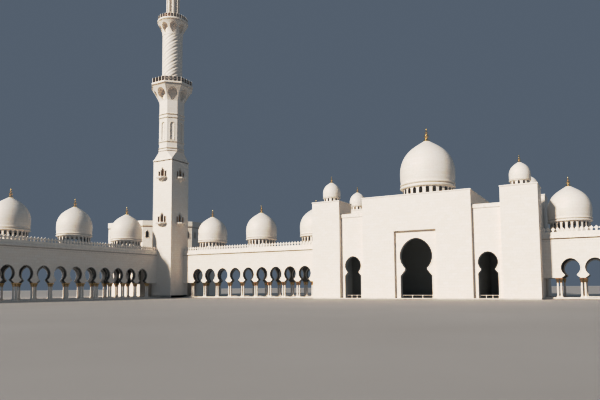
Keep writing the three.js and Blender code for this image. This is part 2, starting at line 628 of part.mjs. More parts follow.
// Corner hall: an eight-sided hall that touches the outer corner of the galleries
function addCornerHall() {
  const { apothem, roofLow, roofTop, parapetTop, band, bandLow } = hall;
  const { windowHalf, windowLow, windowSpring, windowTip } = hall;
  const inner = apothem - hall.wall;
  const middle = back + (apothem + gap) / Math.SQRT2;
  const place = (solid) => toGeometry(solid.translate([-middle * bay, middle * bay, 0]));
  const face = apothem - band;
  const shell = turnedOctagon([[inner, standing], [face, standing], [face, bandLow], [apothem, bandLow],
    [apothem, parapetTop], [inner, parapetTop], [inner, standing]]);
  const [outside, inside] = [-apothem - 0.1, 0.1 - inner];
  const slot = wallAlongX([[-windowHalf, windowLow], [windowHalf, windowLow], [windowHalf, windowSpring],
    [0, windowTip], [-windowHalf, windowSpring]], outside, inside);
  const pair = [-1, 1].map((side) => slot.translate([side * hall.windowOffset * bay, 0, 0]));
  const faces = Array.from({ length: 8 }, (_, i) => i * 45);
  const windows = faces.flatMap((turn) => pair.map((cut) => cut.rotate([0, 0, turn])));
  const door = doorCutter(bayArch, 0, outside, inside, 5);
  const doors = [-90, 180].map((turn) => door.rotate([0, 0, turn]));
  const walls = [...windows, ...doors].reduce((body, cut) => body.subtract(cut), shell);
  const plate = (radius, z0, z1) => turnedOctagon([[0, z0], [radius, z0], [radius, z1], [0, z1]]);
  addPiece('corner_hall_floor', place(plate(apothem, 0, gallery.floorTop)), paving);
  addPiece('corner_hall_walls', place(walls), marble);
  addPiece('corner_hall_roof', place(plate(inner - gap, roofLow, roofTop)), marble);
}

addWing();
addFacadeGallery();
addEastGallery();
addPortal();
addMinaret();
addCornerHall();

// The origin is the middle of the footprint, at ground level
const hallReach = back + (hall.apothem + gap) / Math.SQRT2 + hall.apothem;
const middleX = (eastEnd + gallery.ledge - hallReach) / 2 * bay;
const middleY = (wingEnd - gallery.ledge + hallReach) / 2 * bay;
model.position.set(-middleX, -middleY, 0);

export default model;
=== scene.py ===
# White marble mosque at 1:10: a courtyard corner with its minaret, two domed galleries and the domed portal
import json
import bpy
import bmesh
from math import asin, ceil, cos, floor, hypot, pi, radians, sin, tan
from mathutils import Matrix, Vector

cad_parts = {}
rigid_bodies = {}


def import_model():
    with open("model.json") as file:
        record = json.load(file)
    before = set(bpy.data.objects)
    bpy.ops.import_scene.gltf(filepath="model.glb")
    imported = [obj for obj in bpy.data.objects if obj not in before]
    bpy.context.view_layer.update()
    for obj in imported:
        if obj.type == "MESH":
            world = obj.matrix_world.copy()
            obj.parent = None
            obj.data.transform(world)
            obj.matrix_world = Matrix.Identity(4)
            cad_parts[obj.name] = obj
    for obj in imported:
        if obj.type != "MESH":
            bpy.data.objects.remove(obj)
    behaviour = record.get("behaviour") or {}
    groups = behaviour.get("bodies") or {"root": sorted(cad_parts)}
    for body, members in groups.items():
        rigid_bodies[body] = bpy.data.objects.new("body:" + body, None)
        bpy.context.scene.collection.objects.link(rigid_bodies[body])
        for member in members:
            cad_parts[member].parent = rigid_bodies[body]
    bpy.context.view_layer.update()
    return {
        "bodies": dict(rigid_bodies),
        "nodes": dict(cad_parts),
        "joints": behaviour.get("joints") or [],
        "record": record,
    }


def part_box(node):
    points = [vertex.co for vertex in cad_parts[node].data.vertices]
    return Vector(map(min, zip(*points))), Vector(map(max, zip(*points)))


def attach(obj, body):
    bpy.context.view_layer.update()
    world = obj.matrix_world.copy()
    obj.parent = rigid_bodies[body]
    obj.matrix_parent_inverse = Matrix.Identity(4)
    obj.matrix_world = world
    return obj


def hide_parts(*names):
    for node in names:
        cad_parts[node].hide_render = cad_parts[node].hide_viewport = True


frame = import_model()
nodes = frame["nodes"]

bay = 0.42  # pitch of the arcade in metres; shapes are in bays, materials in metres
axisInCourt = (0.39, -0.39)  # the minaret's axis, seen from the corner where the two gallery fronts meet
shaftLow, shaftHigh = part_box("minaret_square_shaft")
courtX = (shaftLow.x + shaftHigh.x) / 2 - axisInCourt[0] * bay
courtY = (shaftLow.y + shaftHigh.y) / 2 - axisInCourt[1] * bay
print("frame loaded:", len(nodes), "solids, court corner at", round(courtX, 4), round(courtY, 4))


# Materials

def toLinear(hexColour):
    channels = [int(hexColour[i:i + 2], 16) / 255 for i in (1, 3, 5)]
    linear = [c / 12.92 if c <= 0.04045 else ((c + 0.055) / 1.055) ** 2.4 for c in channels]
    return (*linear, 1.0)


def socketOf(source):
    return source if isinstance(source, bpy.types.NodeSocket) else source.outputs[0]


def addNode(tree, kind, settings=None, links=None, stops=()):
    made = tree.nodes.new("ShaderNode" + kind)
    for name, value in (settings or {}).items():
        if isinstance(name, int) or name in made.inputs:
            made.inputs[name].default_value = value
        else:
            setattr(made, name, value)
    for name, source in (links or {}).items():
        tree.links.new(socketOf(source), made.inputs[name])
    for i, (position, colour) in enumerate(stops):
        stop = made.color_ramp.elements[i] if i < 2 else made.color_ramp.elements.new(position)
        stop.position, stop.color = position, colour
    return made


def startMaterial(name, settings):
    material = bpy.data.materials.new(name)
    material.use_nodes = True
    tree = material.node_tree
    tree.nodes.clear()
    shader = addNode(tree, "BsdfPrincipled", settings)
    addNode(tree, "OutputMaterial", {}, {"Surface": shader})
    return material, tree, shader, addNode(tree, "TexCoord").outputs["Object"]


def linkShader(tree, shader, **sources):
    for name, source in sources.items():
        tree.links.new(socketOf(source), shader.inputs[name.replace("_", " ")])


# Cladding slabs are 1.2 x 0.6 m on the building, with joints drawn a little coarser so that they show
cladding = {
    "stone": "#F3EEE7",
    "warmSlab": "#F0E9E0",
    "joint": "#DCD5CB",
    "vein": "#E2DBD2",
    "slabWidth": 120 / 1000,
    "slabHeight": 60 / 1000,
    "jointWidth": 0.9 / 1000,
    "veinSpacing": 90 / 1000,
    "grain": 1.5 / 1000,
    "roughness": 0.56,
    "ior": 1.49,
}


def wallPlane(tree, place):
    # runs level along any upright face, and lies flat on a level one
    facing = addNode(tree, "NewGeometry").outputs["True Normal"]
    p = addNode(tree, "SeparateXYZ", {}, {0: place})
    n = addNode(tree, "SeparateXYZ", {}, {0: facing})
    alongX = addNode(tree, "Math", {"operation": "MULTIPLY"}, {0: p, 1: n.outputs[1]})
    alongY = addNode(tree, "Math", {"operation": "MULTIPLY"}, {0: p.outputs[1], 1: n})
    along = addNode(tree, "Math", {"operation": "SUBTRACT"}, {0: alongY, 1: alongX})
    upright = addNode(tree, "CombineXYZ", {}, {0: along, 1: p.outputs[2]})
    steep = addNode(tree, "Math", {"operation": "ABSOLUTE"}, {0: n.outputs[2]})
    level = addNode(tree, "Math", {"operation": "GREATER_THAN", 1: 0.8}, {0: steep})
    plane = addNode(tree, "Mix", {"data_type": "VECTOR"}, {0: level, 4: upright, 5: place})
    return plane.outputs[1]


def roundPlane(tree, place, radius):
    # unrolls a turned surface that stands on its object's own axis
    p = addNode(tree, "SeparateXYZ", {}, {0: place})
    angle = addNode(tree, "Math", {"operation": "ARCTAN2"}, {0: p.outputs[1], 1: p})
    along = addNode(tree, "Math", {"operation": "MULTIPLY", 1: radius}, {0: angle})
    return addNode(tree, "CombineXYZ", {}, {0: along, 1: p.outputs[2]})


# Painted shade inside: a dark grey tone on faces that only shade reaches, where the openings are almost
# black.
# The marble of the solids with painted shade inside is multiplied by it, or by a lighter bluish grey in the
# portal, below the ceiling height or in a box given by its middle and half size in bays
insideShade = {
    "stone": "#4C4C4C",
    "warmSlab": "#454443",
    "joint": "#2C2B2A",
    "vein": "#5A5957",
    "portalShadeTint": "#A3AEB6",
    "ceiling": 2.703 * bay,
    "portalHall": [(17.47, 1.5, 2.2), (5.56, 2.43, 2.15)],
    "stairwell": [(*axisInCourt, 4.6), (0.6, 0.6, 4.7)],
}
# Painted shadow: marble darkened in a thin line under a ledge, where the ledge's shade falls
ledgeShadow = {"stone": "#A89C8E", "warmSlab": "#9F9384", "joint": "#8C8174", "vein": "#968B7E"}


def insideShadeMask(tree, place, middle, reach):
    # one inside the box, where shade is painted, and nothing outside it
    centre = (courtX + middle[0] * bay, courtY + middle[1] * bay, middle[2] * bay)
    offset = addNode(tree, "VectorMath", {"operation": "SUBTRACT", 1: centre}, {0: place})
    away = addNode(tree, "VectorMath", {"operation": "ABSOLUTE"}, {0: offset})
    scaled = addNode(tree, "VectorMath", {"operation": "DIVIDE", 1: [r * bay for r in reach]}, {0: away})
    each = addNode(tree, "SeparateXYZ", {}, {0: scaled})
    wider = addNode(tree, "Math", {"operation": "MAXIMUM"}, {0: each, 1: each.outputs[1]})
    widest = addNode(tree, "Math", {"operation": "MAXIMUM"}, {0: wider, 1: each.outputs[2]})
    return addNode(tree, "Math", {"operation": "LESS_THAN", 1: 1.0}, {0: widest})


def belowShadeMask(tree, place, height):
    # one below the height, where shade is painted, and nothing above it
    p = addNode(tree, "SeparateXYZ", {}, {0: place})
    return addNode(tree, "Math", {"operation": "LESS_THAN", 1: height}, {0: p.outputs[2]})


def marbleCladding(name, radius=None, slabWidth=cladding["slabWidth"], tones=cladding, shadeMask=None,
                   inner=insideShade["stone"]):
    # honed marble slabs: a soft sheen, faint veins and a slight change of tone from slab to slab;
    # where a mask is given, painted shade multiplies the marble by the inner tone inside it
    shine = {"Roughness": cladding["roughness"], "IOR": cladding["ior"]}
    material, tree, shader, place = startMaterial(name, shine)
    slabs = addNode(tree, "TexBrick", {
        "Scale": 1.0,
        "Brick Width": slabWidth,
        "Row Height": cladding["slabHeight"],
        "Mortar Size": cladding["jointWidth"],
        "Mortar Smooth": 0.2,
        "Color1": toLinear(tones["stone"]),
        "Color2": toLinear(tones["warmSlab"]),
        "Mortar": toLinear(tones["joint"]),
    }, {"Vector": roundPlane(tree, place, radius) if radius else wallPlane(tree, place)})
    clouds = addNode(tree, "TexNoise", {
        "Scale": 1 / cladding["veinSpacing"],
        "Detail": 6.0,
        "Roughness": 0.62,
        "Distortion": 1.6,
    }, {"Vector": place})
    none, half = (0, 0, 0, 1), (0.5, 0.5, 0.5, 1)
    veins = addNode(tree, "ValToRGB", {}, {0: clouds}, [(0.47, none), (0.5, half), (0.53, none)])
    vein = {"data_type": "RGBA", 7: toLinear(tones["vein"])}
    colour = addNode(tree, "Mix", vein, {0: veins, 6: slabs}).outputs[2]
    if shadeMask:
        paintShade = {"data_type": "RGBA", "blend_type": "MULTIPLY", 0: 1.0, 7: toLinear(inner)}
        paintedShadeColour = addNode(tree, "Mix", paintShade, {6: colour}).outputs[2]
        inside = shadeMask[0](tree, place, *shadeMask[1:])
        colour = addNode(tree, "Mix", {"data_type": "RGBA"}, {0: inside, 6: colour, 7: paintedShadeColour}).outputs[2]
    grain = addNode(tree, "TexNoise", {"Scale": 1 / cladding["grain"], "Detail": 2.0}, {"Vector": place})
    sheen = addNode(tree, "MapRange", {3: 0.5, 4: 0.64}, {0: clouds})
    relief = addNode(tree, "Bump", {"Strength": 0.35, "Distance": 0.3 / 1000, "invert": True},
                     {"Height": slabs.outputs["Fac"]})
    fine = addNode(tree, "Bump", {"Strength": 0.12, "Distance": 0.1 / 1000},
                   {"Height": grain, "Normal": relief})
    linkShader(tree, shader, Base_Color=colour, Roughness=sheen, Normal=fine)
    return material


wallMarble = marbleCladding("honed_marble_cladding")
domeMarble = marbleCladding("honed_marble_dome_slabs", radius=0.36, slabWidth=0.11)
shaftMarble = marbleCladding("honed_marble_round_shaft", radius=0.29, slabWidth=0.07)
# painted shade: dark grey for the inner faces, the insides of drums and the reveals, where only shade falls
paintedShadeStone = marbleCladding("dark_grey_painted_shade", tones=insideShade)
# painted shadow: darker marble for the strips under ledges and bands, where their shade falls
ledgeShadowMarble = marbleCladding("painted_shadow_under_ledges", tones=ledgeShadow)
# painted shade: these marbles turn dark below the ceiling height, or inside the portal's hall and the
# stairwell
roofMarble = marbleCladding("marble_roof_with_painted_shade_below_ceiling", shadeMask=(belowShadeMask, insideShade["ceiling"]))
portalMarble = marbleCladding("marble_portal_with_painted_shade_inside", shadeMask=(insideShadeMask, *insideShade["portalHall"]),
                              inner=insideShade["portalShadeTint"])
stairMarble = marbleCladding("marble_shaft_with_painted_shade_inside", shadeMask=(insideShadeMask, *insideShade["stairwell"]))


# Turned and polished marble of the columns, mouldings and merlons: clearer and glossier than the walls
polished = {
    "shader": {"Roughness": 0.25, "IOR": 1.49},
    "clouds": {"Scale": 1 / 0.07, "Detail": 5.0, "Distortion": 1.2},
    "ramp": (0.3, 0.6),
    "sheen": {3: 0.2, 4: 0.34},
    "grain": 2 / 1000,
    "relief": {"Strength": 0.08, "Distance": 0.1 / 1000},
}
# Gold leaf over cast brass: warm, with small soft dents and duller patches in the hollows
brass = {
    "shader": {"Metallic": 1.0, "Roughness": 0.32},
    "clouds": {"Scale": 1 / 0.02, "Detail": 4.0},
    "ramp": (0.35, 0.65),
    "sheen": {3: 0.42, 4: 0.24},
    "grain": 4 / 1000,
    "relief": {"Strength": 0.25, "Distance": 0.3 / 1000},
}


def cloudedFinish(name, finish, *tones):
    material, tree, shader, place = startMaterial(name, finish["shader"])
    clouds = addNode(tree, "TexNoise", finish["clouds"], {"Vector": place})
    stops = [(position, toLinear(tone)) for position, tone in zip(finish["ramp"], tones)]
    colour = addNode(tree, "ValToRGB", {}, {0: clouds}, stops)
    sheen = addNode(tree, "MapRange", finish["sheen"], {0: clouds})
    grain = addNode(tree, "TexNoise", {"Scale": 1 / finish["grain"], "Detail": 2.0}, {"Vector": place})
    fine = addNode(tree, "Bump", finish["relief"], {"Height": grain})
    linkShader(tree, shader, Base_Color=colour, Roughness=sheen, Normal=fine)
    return material


def courtPaving():
    # polished stone tiles, one metre square on the building, with thin grey joints
    material, tree, shader, place = startMaterial("polished_stone_paving", {"Roughness": 0.2, "IOR": 1.5})
    tiles = addNode(tree, "TexBrick", {
        "offset": 0.0,
        "Scale": 1.0,
        "Brick Width": 100 / 1000,
        "Row Height": 100 / 1000,
        "Mortar Size": 0.8 / 1000,
        "Color1": toLinear("#E9E3DA"),
        "Color2": toLinear("#DFD8CE"),
        "Mortar": toLinear("#A9A197"),
    }, {"Vector": place})
    clouds = addNode(tree, "TexNoise", {"Scale": 1 / 0.05, "Detail": 5.0, "Distortion": 0.8},
                     {"Vector": place})
    sheen = addNode(tree, "MapRange", {3: 0.15, 4: 0.3}, {0: clouds})
    stain = addNode(tree, "Mix", {"data_type": "RGBA", "blend_type": "MULTIPLY", 0: 0.12},
                    {6: tiles, 7: clouds.outputs[1]})
    relief = addNode(tree, "Bump", {"Strength": 0.4, "Distance": 0.3 / 1000, "invert": True},
                     {"Height": tiles.outputs["Fac"]})
    linkShader(tree, shader, Base_Color=stain.outputs[2], Roughness=sheen, Normal=relief)
    return material


def studioFloor():
    material, tree, shader, place = startMaterial("pale_studio_floor", {"Roughness": 0.85, "IOR": 1.45})
    clouds = addNode(tree, "TexNoise", {"Scale": 0.6, "Detail": 3.0}, {"Vector": place})
    stops = [(0, toLinear("#BEBBB7")), (1, toLinear("#C8C5C1"))]
    linkShader(tree, shader, Base_Color=addNode(tree, "ValToRGB", {}, {0: clouds}, stops))
    return material


trimMarble = cloudedFinish("polished_marble_trim", polished, "#E9E1D7", "#F6F0E8")
gilding = cloudedFinish("gilded_brass", brass, "#A37646", "#DDB982")
finialGold = cloudedFinish("pale_gilded_finial", brass, "#CFAE74", "#F6E8C8")
agedBrass = cloudedFinish("aged_brass_lattice", brass, "#4A2C14", "#9A6428")
# painted shade: the railings' brass is much darker than the gilding, standing in for the shade behind the
# lattice
shadeDarkenedBrass = cloudedFinish("brass_railing_darkened_as_painted_shade", brass, "#2E1D12", "#6A4622")
paving = courtPaving()
print("materials made")


# Shapes are lists of points and faces in bays, with upright walls facing -Y until they are turned

def joined(*shapes):
    points, faces = [], []
    for morePoints, moreFaces in shapes:
        first = len(points)
        points.extend(morePoints)
        faces.extend([[first + i for i in face] for face in moreFaces])
    return points, faces


def moved(shape, x=0.0, y=0.0, z=0.0, turn=0.0):
    c, s = cos(radians(turn)), sin(radians(turn))
    return [(x + c * px - s * py, y + s * px + c * py, z + pz) for px, py, pz in shape[0]], shape[1]


def ringed(shape, count):
    return joined(*[moved(shape, turn=360 * i / count) for i in range(count)])


def turned(profile, segments=64, first=0.0, squeeze=None, closed=False):
    # turns a (radius, z) profile about the Z axis; squeeze may change its reach with the angle
    points, faces = [], []
    profile = [*profile, profile[0]] if closed else profile
    rows = len(profile)
    for s in range(segments):
        angle = radians(first) + 2 * pi * s / segments
        for r, z in profile:
            reach = r * squeeze(angle, z) if squeeze else r
            points.append((reach * cos(angle), reach * sin(angle), z))
    for s in range(segments):
        a, b = s * rows, (s + 1) % segments * rows
        faces.extend([a + i, b + i, b + i + 1, a + i + 1] for i in range(rows - 1))
    return points, faces


def shifted(profile, out=0.0, up=0.0):
    return [(out + r, up + z) for r, z in profile]


def eightSided(profile):
    return turned([(r / cos(pi / 8), z) for r, z in profile], 8, 22.5, closed=True)


def prism(outline, y0, y1):
    n = len(outline)
    points = [(u, y0, z) for u, z in outline] + [(u, y1, z) for u, z in outline]
    sides = [[i, (i + 1) % n, n + (i + 1) % n, n + i] for i in range(n)]
    return points, [list(range(n)), list(range(2 * n - 1, n - 1, -1)), *sides]


def slab(outline, z0, z1):
    points, faces = prism(outline, z0, z1)
    return [(x, y, z) for x, z, y in points], faces


def block(x0, x1, y0, y1, z0, z1):
    return slab([(x0, y0), (x1, y0), (x1, y1), (x0, y1)], z0, z1)


def widened(path, width):
    # moves an upright path outward, to the left of its travel
    wider = []
    for i, (u, z) in enumerate(path):
        a, b = path[max(i - 1, 0)], path[min(i + 1, len(path) - 1)]
        du, dz = b[0] - a[0], b[1] - a[1]
        length = hypot(du, dz)
        wider.append((u - dz / length * width, z + du / length * width))
    return wider


def ribbon(path, width, y0, y1):
    # a flat band that follows an upright path
    n = len(path)
    outer = widened(path, width)
    points = [(u, y, z) for y in (y0, y1) for line in (path, outer) for u, z in line]
    faces = [[0, n, 3 * n, 2 * n], [n - 1, 3 * n - 1, 4 * n - 1, 2 * n - 1]]
    for i in range(n - 1):
        faces += [[i, i + 1, n + i + 1, n + i], [2 * n + i, 3 * n + i, 3 * n + i + 1, 2 * n + i + 1],
                  [i, 2 * n + i, 2 * n + i + 1, i + 1], [n + i, n + i + 1, 3 * n + i + 1, 3 * n + i]]
    return points, faces


def moulding(path, profile, closed=False):
    # sweeps an (outward, z) outline along a plan path, outward to the right of travel
    count, rows = len(path), len(profile)
    points, faces = [], []
    for i, (x, y) in enumerate(path):
        legs = []
        if closed or i > 0:
            legs.append((path[i - 1], path[i]))
        if closed or i < count - 1:
            legs.append((path[i], path[(i + 1) % count]))
        normals = []
        for (ax, ay), (bx, by) in legs:
            length = hypot(bx - ax, by - ay)
            normals.append(((by - ay) / length, (ax - bx) / length))
        nx = sum(n[0] for n in normals) / len(normals)
        ny = sum(n[1] for n in normals) / len(normals)
        square = nx * nx + ny * ny
        points.extend((x + out * nx / square, y + out * ny / square, z) for out, z in profile)
    spans = count if closed else count - 1
    for i in range(spans):
        a, b = i * rows, (i + 1) % count * rows
        faces.extend([a + j, b + j, b + (j + 1) % rows, a + (j + 1) % rows] for j in range(rows))
    if not closed:
        faces += [list(range(rows)), list(range((count - 1) * rows, count * rows))]
    return points, faces


def fillMesh(mesh, parts, scale, shiftX, shiftY):
    work = bmesh.new()
    for material, (points, faces) in parts:
        if material and material.name not in mesh.materials:
            mesh.materials.append(material)
        verts = [work.verts.new((x * scale + shiftX, y * scale + shiftY, z * scale)) for x, y, z in points]
        made = [work.faces.new([verts[i] for i in face]) for face in faces]
        for face in made:
            face.smooth = True
            face.material_index = mesh.materials.find(material.name) if material else 0
        bmesh.ops.remove_doubles(work, verts=verts, dist=1e-5)
        bmesh.ops.recalc_face_normals(work, faces=[face for face in made if face.is_valid])
    work.to_mesh(mesh)
    work.free()


def addObject(name, data):
    made = bpy.data.objects.new(name, data)
    bpy.context.scene.collection.objects.link(made)
    return made


def addPiece(name, parts, replaces=(), slot="marble", axis=None, share=None):
    # a piece on an axis has its own origin there, so pieces that are alike can share one mesh
    if share:
        mesh = share.data
    else:
        mesh = bpy.data.meshes.new(name)
        fillMesh(mesh, parts, bay, *((0, 0) if axis else (courtX, courtY)))
        mesh.set_sharp_from_angle(angle=radians(32))
    piece = addObject(name, mesh)
    if axis:
        piece.location = (courtX + axis[0] * bay, courtY + axis[1] * bay, 0)
    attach(piece, "root")
    if replaces:
        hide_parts(*replaces)
    return piece


def dress(node, parts, **how):
    # a finer piece that stands in for a solid with the same outline
    return addPiece(node + "_dressed", parts, [node], **how)


def carved(shape, *cutters):
    # cuts niches or windows out of a closed shape
    made = []
    for name, solid in (("body", shape), ("tool", joined(*cutters))):
        mesh = bpy.data.meshes.new(name)
        fillMesh(mesh, [(None, solid)], 1, 0, 0)
        made.append(addObject(name, mesh))
    body, tool = made
    cut = body.modifiers.new("cut", "BOOLEAN")
    cut.operation, cut.solver, cut.object = "DIFFERENCE", "EXACT", tool
    result = body.evaluated_get(bpy.context.evaluated_depsgraph_get()).to_mesh()
    points = [tuple(v.co) for v in result.vertices]
    faces = [list(p.vertices) for p in result.polygons]
    for each in made:
        mesh = each.data
        bpy.data.objects.remove(each)
        bpy.data.meshes.remove(mesh)
    return points, faces


# Arches

def horseshoe(arch, steps):
    # half of a pointed horseshoe: its foot, the narrow neck, then round and up to the point
    points = [(arch["footHalf"], arch["footZ"])]
    if "shoulderZ" in arch:
        points.append((arch["footHalf"], arch["shoulderZ"]))
    points.append((arch["neckHalf"], arch["neckZ"]))
    start = asin((arch["neckZ"] - arch["centre"]) / arch["halfWidth"] * 0.97)
    pointed = arch["top"] - arch["centre"] - arch["halfWidth"]
    for i in range(1, steps + 1):
        angle = start + (pi / 2 - start) * i / steps
        lift = pointed * max(0.0, sin(angle)) ** 4
        points.append((arch["halfWidth"] * cos(angle),
                       arch["centre"] + arch["halfWidth"] * sin(angle) + lift))
    return points


def archPath(arch, u=0.0, steps=18, skip=0):
    half = horseshoe(arch, steps)[skip:]
    left = [(u - offset, z) for offset, z in half]
    return left + [(u + offset, z) for offset, z in reversed(half[:-1])]


def pointedOpening(half, low, spring, tip, steps=6):
    right = []
    for i in range(steps + 1):
        angle = i / steps * pi / 2
        right.append((half * cos(angle) ** 0.8, spring + (tip - spring) * sin(angle)))
    left = [(-u, z) for u, z in reversed(right[:-1])]
    return [(-half, low), (half, low), *right, *left]


# Arcades: horseshoe arches on twin columns with gilded capitals
arcade = {
    "wallTop": 2.7,
    "thick": 0.24,
    "wallFoot": 0.97,
    "rimWidth": 0.04,
    "rimProud": 0.012,
    "stripFoot": 0.051,
    "stripTop": 0.08,
    "stripHalf": 0.12,
}
keyhole = {"halfWidth": 0.4, "centre": 1.45, "top": 1.88, "neckHalf": 0.25, "neckZ": 1.09,
           "footHalf": 0.4, "footZ": 0.97}
twinColumns = {
    "spacing": 0.146,
    "shaft": 0.045,
    "shaftTop": 0.775,
    "capitalTop": 0.93,
    "abacusHalf": 0.083,
    "leaves": 8,
}


def leafyBell(angle, z):
    # the capital's reach: round at its foot, opening to the square abacus, with a ring of leaves
    low, half = twinColumns["shaftTop"], twinColumns["abacusHalf"]
    t = (z - low) / (twinColumns["capitalTop"] - low)
    square = min(half / max(abs(cos(angle)), abs(sin(angle))), half * 1.25)
    spread = t ** 1.8
    leaf = 1 + 0.09 * cos(twinColumns["leaves"] * angle) * sin(pi * min(1, t * 1.3))
    return (0.05 * (1 - spread) + square * spread) * leaf


def columnShape():
    # a shaft of polished marble on its base, under a gilded capital of leaves with a collar and an abacus
    r, low, top = twinColumns["shaft"], arcade["stripTop"], twinColumns["shaftTop"]
    base = shifted([(0, 0.03), (0.068, 0.03), (0.072, 0.045), (0.066, 0.06), (0.052, 0.068), (0.058, 0.082),
                    (0.05, 0.095)], up=low)
    shaft = turned([*base, (r * 1.04, low + 0.12), (r * 1.04, 0.4), (r * 0.94, top), (0, top)], 20)
    foot = block(-0.072, 0.072, -0.072, 0.072, low, low + 0.03)
    half, high, steps = twinColumns["abacusHalf"], twinColumns["capitalTop"], 7
    rows = [(1, top + i / steps * (high - top)) for i in range(steps + 1)]
    bell = turned([(0, top), *rows, (0, high)], 32, squeeze=leafyBell)
    collar = turned([(0, 0.768), (0.056, 0.768), (0.06, 0.778), (0.056, 0.788), (0, 0.788)], 20)
    abacus = block(-half, half, -half, half, high, arcade["wallFoot"])
    return [(trimMarble, joined(shaft, foot)), (gilding, joined(bell, collar, abacus))]


column = columnShape()


def arcadeParts(ends, centres, pairs, strip):
    # the court face and the ends are marble; the inner face and the reveals of the arches take painted shade
    low, top, thick = arcade["wallFoot"], arcade["wallTop"], arcade["thick"]
    notches = [p for u in centres for p in archPath(keyhole, u)]
    outline = [(ends[0], low), *notches, (ends[1], low), (ends[1], top), (ends[0], top)]
    points, (court, inner, *edges) = prism(outline, 0, thick)
    rims = []
    for u in centres:
        path = archPath(keyhole, u, skip=1)
        proud, width = arcade["rimProud"], arcade["rimWidth"]
        rims += [ribbon(path, width, -proud, 0.01), ribbon(path, width, thick - 0.01, thick + proud)]
    half, middle = arcade["stripHalf"], thick / 2
    step = block(*strip, middle - half, middle + half, arcade["stripFoot"], arcade["stripTop"])
    places = [u + side * twinColumns["spacing"] / 2 for u in pairs for side in (-1, 1)]
    parts = [(wallMarble, (points, [court, *edges[-3:]])), (paintedShadeStone, (points, [inner, *edges[:-3]])),
             (trimMarble, joined(step, *rims))]
    for material, shape in column:
        parts.append((material, joined(*[moved(shape, x=u, y=middle) for u in places])))
    return parts


def dressArcade(node, ends, centres, endPairs, strip=None, more=(), **where):
    # twin columns stand between the arches, and at those ends of the row that endPairs counts
    pairs = [u + 0.5 for u in centres[:-1]]
    pairs = [centres[0] - 0.5] * endPairs[0] + pairs + [centres[-1] + 0.5] * endPairs[1]
    parts = arcadeParts(ends, centres, pairs, strip or ends)
    dress(node, [(material, moved(shape, **where)) for material, shape in parts] + list(more))


def mirrored(places):
    return [-u for u in reversed(places)]


firstArch, depth = 2.47, 3.0
wingArches, facadeArches, hiddenArches, eastArches = 11, 9, 2, 3
seam = 0.0007  # the hairline between solids that stand against each other
clear = 1.2 + seam  # where the galleries start, just clear of the minaret's faces
# the galleries end at the portal's towers, so its sizes stand here
portal = {"middle": 17.47, "half": 5.84, "tower": 1.66, "front": -1.2, "rear": 4.2, "frameDepth": 0.18,
          "bayRecess": 0.24, "rim": 0.045, "rimProud": 0.02, "bayMiddle": 3.505, "bayHalf": 0.674,
          "bayBandLow": 4.39, "bayTop": 4.6, "blockHalf": 2.83, "height": 5.36, "railLow": 0.172,
          "railTop": 0.205, "mainRailHalf": 0.8, "mainRailIn": 0.35, "bayRailHalf": 0.45, "bayRailIn": 0.4}
towerLeft, towerRight = portal["middle"] - portal["half"], portal["middle"] + portal["half"]
wingInner = -(firstArch + wingArches - 0.5) + 0.08
wingEnd = wingInner - arcade["thick"]
eastFirst = 2 * portal["middle"] - (firstArch + facadeArches - 1)
eastPier = eastFirst + eastArches - 0.5
eastInner, eastEnd = eastPier - 0.08, eastPier + 0.16
cornerStart = hiddenArches + 0.5 - firstArch

hidden = [firstArch - 2, firstArch - 1]
facadeCentres = [firstArch + i for i in range(facadeArches)]
wingCentres = mirrored([firstArch + i for i in range(wingArches)])
eastCentres = [eastFirst + i for i in range(eastArches)]

# the wing runs away from the court corner along -Y, the other galleries along +X
dressArcade("wing_front_arcade", (wingInner + seam, -clear), wingCentres, (0, 1),
            strip=(wingInner + seam, 0.7 - firstArch), turn=90)
wingRearEnds = (-cornerStart - 0.05, -wingInner - seam)
thick, wallSpan = arcade["thick"], (arcade["stripFoot"], arcade["wallTop"])
cornerWalls = joined(block(-depth, thick - depth, cornerStart, depth, *wallSpan),
                     block(thick - depth, -seam, depth - thick, depth, *wallSpan))
dressArcade("wing_rear_arcade", wingRearEnds, hidden + mirrored(wingCentres), (0, 0),
            strip=(wingRearEnds[0] - 0.05, wingRearEnds[1]), more=[(wallMarble, cornerWalls)],
            x=-depth, turn=270)
dressArcade("facade_front_arcade", (clear, towerLeft - seam), facadeCentres, (1, 1),
            strip=(firstArch - 0.7, towerLeft - seam))
dressArcade("facade_rear_arcade", (seam - towerLeft, -seam), mirrored(hidden + facadeCentres), (1, 0),
            y=depth, turn=180)
dressArcade("east_front_arcade", (towerRight + seam, eastInner - seam), eastCentres, (1, 0))
dressArcade("east_rear_arcade", (seam - eastInner, -towerRight - seam), mirrored(eastCentres), (0, 1),
            y=depth, turn=180)
print("arcades built")

# Cornice under the ledge, and the row of leaf-shaped merlons on the parapets
cornice = {
    "bead": [(0, 2.93), (0.03, 2.93), (0.03, 2.945), (0.012, 2.965), (0, 2.97)],
    "drip": [(0.04, 2.832), (0.074, 2.832), (0.078, 2.845), (0.074, 2.865), (0.055, 2.88), (0.04, 2.88)],
    # painted shadow: a darker strip of marble under the drip
    "shadowStrip": [(-0.01, 2.785), (0.004, 2.785), (0.004, 2.829), (-0.01, 2.829)],
}
merlon = {
    "pitch": 0.2,
    "foot": 3.13,
    "thick": 0.06,
    "inset": 0.06,
    "endGap": 0.09,
    "bevel": 0.013,
    "leaf": [(0.046, 0.0), (0.04, 0.035), (0.054, 0.07), (0.082, 0.1), (0.091, 0.124), (0.084, 0.15),
             (0.062, 0.176), (0.036, 0.2), (0.017, 0.224)],
    "tip": 0.245,
}


